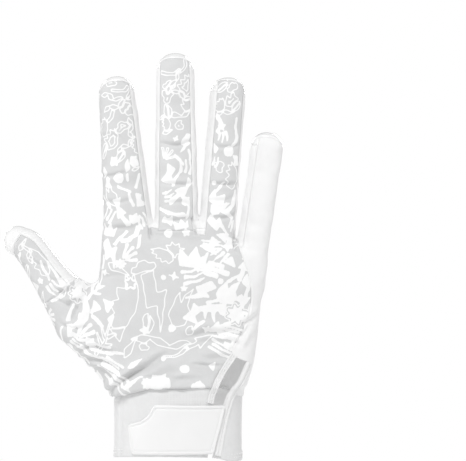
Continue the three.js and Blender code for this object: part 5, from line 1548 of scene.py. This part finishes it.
# Stitches are short spindles of four rings along lines on the surface
stitch = {
    "pitch": 2.5, "length": 1.9, "thickness": .2, "sides": 6, "tip": .1,
    "hemLift": .23, "pastSlit": 6, "underStrap": -29.5, "fewest": 20,
}
# place along a stitch, radius, rise: shares of its length, its thickness and half its thickness
stitchRows = np.array([(.06, .35, -1.2), (.3, 1, .6), (.7, 1, .6), (.94, .35, -1.2)])
# tape, across from the slit's edge, lift over the surface
tapeStitches = [("back", 1.45, .22), ("back", 2.8, .18), ("side", 2.95, .18)]


# Spindles along a line: rings about each stitch's own axis, sunk a little at both ends
def stitchRow(line, normal, lift):
    s = stitch
    arc = np.concatenate([[0], np.cumsum(np.linalg.norm(np.diff(line, axis=0), axis=1))])
    centres = np.arange(s["pitch"], arc[-1] - s["pitch"] / 2, s["pitch"])
    place, wide, rise = stitchRows.T
    at = centres[:, None] + (place - .5) * s["length"]
    middle, up = (np.stack(readRows((arc, rows), at), -1) for rows in (line, normal))
    up, way = unit(up), unit(np.gradient(middle, axis=1))
    side = np.cross(way, up)
    turn = (2 * math.pi * np.arange(s["sides"]) / s["sides"])[:, None]
    radius = (s["thickness"] * wide)[:, None, None]
    centre = middle + up * (lift + .5 * s["thickness"] * rise)[:, None]
    rings = centre[:, :, None] + radius * (up[:, :, None] * np.cos(turn) + side[:, :, None] * np.sin(turn))
    ends = np.stack([centre[:, 0] - way[:, 0] * s["tip"], centre[:, -1] + way[:, -1] * s["tip"]], 1)
    points = np.concatenate([rings.reshape(len(centres), -1, 3), ends], axis=1)
    one = outwards(points[0], tubeFaces(len(stitchRows), s["sides"]))
    faces = one[None] + (np.arange(len(centres)) * points.shape[1])[:, None, None]
    return points.reshape(-1, 3), faces.reshape(-1, 3)


# Meshes as one, each part's faces numbered after the points before it
def joinMeshes(parts):
    offset = np.cumsum([0] + [len(p) for p, _ in parts[:-1]])
    return np.vstack([p for p, _ in parts]), np.vstack([f + k for (_, f), k in zip(parts, offset)])


# Lines round the cuff a set height above its hem, leaving out the slit and what lies under the strap
def hemLines(height):
    turn = np.linspace(-.5, .5, 700)
    angle, up = turn * 2 * math.pi, height - hemDrop(turn)
    across, deep = np.cos(angle) * glove["cuffBreadth"] / 2, np.sin(angle) * glove["cuffDepth"] / 2
    p = np.column_stack([across, deep, up])
    p = settle(handDistance, p, 5, 3)
    p[:, 2] = up
    normal = unit(gradientOf(handDistance, p))
    right = p[:, 0] > slitLines(p[:, 2])[1] + stitch["pastSlit"]
    keep = (p[:, 1] >= 0) | (p[:, 0] < stitch["underStrap"]) | right
    parts = np.split(np.arange(len(p)), np.flatnonzero(np.diff(keep.astype(int))) + 1)
    return [(p[part], normal[part]) for part in parts if keep[part[0]] and len(part) > stitch["fewest"]]


rows = [stitchRow(line, normal, stitch["hemLift"]) for height in relief["hemStitches"]
        for line, normal in hemLines(height)]
for side, across, lift in tapeStitches:
    line, normal = besideEdge(slitEdge(side), across, side)
    rows.append(stitchRow(line, normal, lift))
body, faces = joinMeshes(rows)
makePiece("stitches", body, faces, [finishes["thread"]])
print("piece stitches", len(faces), "triangles")

# Floor, light and camera, in metres
studio = {
    "distance": 1.6, "width": .2703, "centreX": .0319, "centreZ": .1302, "farthest": 20,
    "ambient": .45, "aim": (0, 0, .12),
    "floor": -.11, "floorRadius": 1.2, "floorSides": 96, "floorDark": .955, "floorLight": .965,
}
# place, width, height, power
lamps = {
    "key_light": ((-.25, -1.15, 1.35), .42, .42, 15.6), "left_light": ((-1.3, -.2, .35), .4, 1.0, 3.5),
    "right_light": ((1.3, -.25, .6), .4, 1.0, 3.5), "rear_key": ((.42, 1.2, .45), .13, .9, 6.4),
    "rear_fill": ((-.5, 1.1, .35), .11, .8, 2.6),
}
for name, (place, width, height, power) in lamps.items():
    light = bpy.data.lights.new(name, "AREA")
    light.shape, light.size, light.size_y, light.energy = "RECTANGLE", width, height, power
    lamp = bpy.data.objects.new(name, light)
    bpy.context.scene.collection.objects.link(lamp)
    lamp.location = place
    lamp.rotation_euler = (Vector(studio["aim"]) - Vector(place)).to_track_quat("-Z", "Y").to_euler()

# A dim white world, which the camera sees as full white
scene = bpy.context.scene
scene.world = bpy.data.worlds.new("studio")
world = NodeTree(scene.world)
lit, seen = (world.node("ShaderNodeBackground", {}, {"Strength": strength, "Color": (1, 1, 1, 1)}).outputs[0]
             for strength in (studio["ambient"], 1.0))
toCamera = world.node("ShaderNodeLightPath").outputs["Is Camera Ray"]
mixed = world.node("ShaderNodeMixShader", {}, {0: toCamera, 1: lit, 2: seen}).outputs[0]
world.node("ShaderNodeOutputWorld", {}, {"Surface": mixed})

floorFinish = Finish("floor_paint", Roughness=.9, Specular_IOR_Level=.1)
tones = grey(studio["floorDark"]), grey(studio["floorLight"])
floorFinish.feed(Base_Color=floorFinish.blend(floorFinish.noise(12, 2), *tones))
turn = np.linspace(0, 2 * math.pi, studio["floorSides"], endpoint=False)
rim = np.column_stack([np.cos(turn), np.sin(turn)]) * studio["floorRadius"]
rim = np.column_stack([rim, np.full(len(turn), studio["floor"])])
floorMesh = bpy.data.meshes.new("floor")
floorMesh.from_pydata(rim.tolist(), [], [list(range(len(turn)))])
floorMesh.materials.append(floorFinish.material)
floor = bpy.data.objects.new("floor", floorMesh)
scene.collection.objects.link(floor)

camera = bpy.data.objects.new("camera", bpy.data.cameras.new("camera"))
scene.collection.objects.link(camera)
camera.data.lens = camera.data.sensor_width * studio["distance"] / studio["width"]
camera.data.clip_end = studio["farthest"]
camera.location = (studio["centreX"], -studio["distance"], studio["centreZ"])
camera.rotation_euler = (math.pi / 2, 0, 0)
scene.camera = camera
scene.view_settings.view_transform = "Standard"
scene.view_settings.look = "None"
print("studio ready")
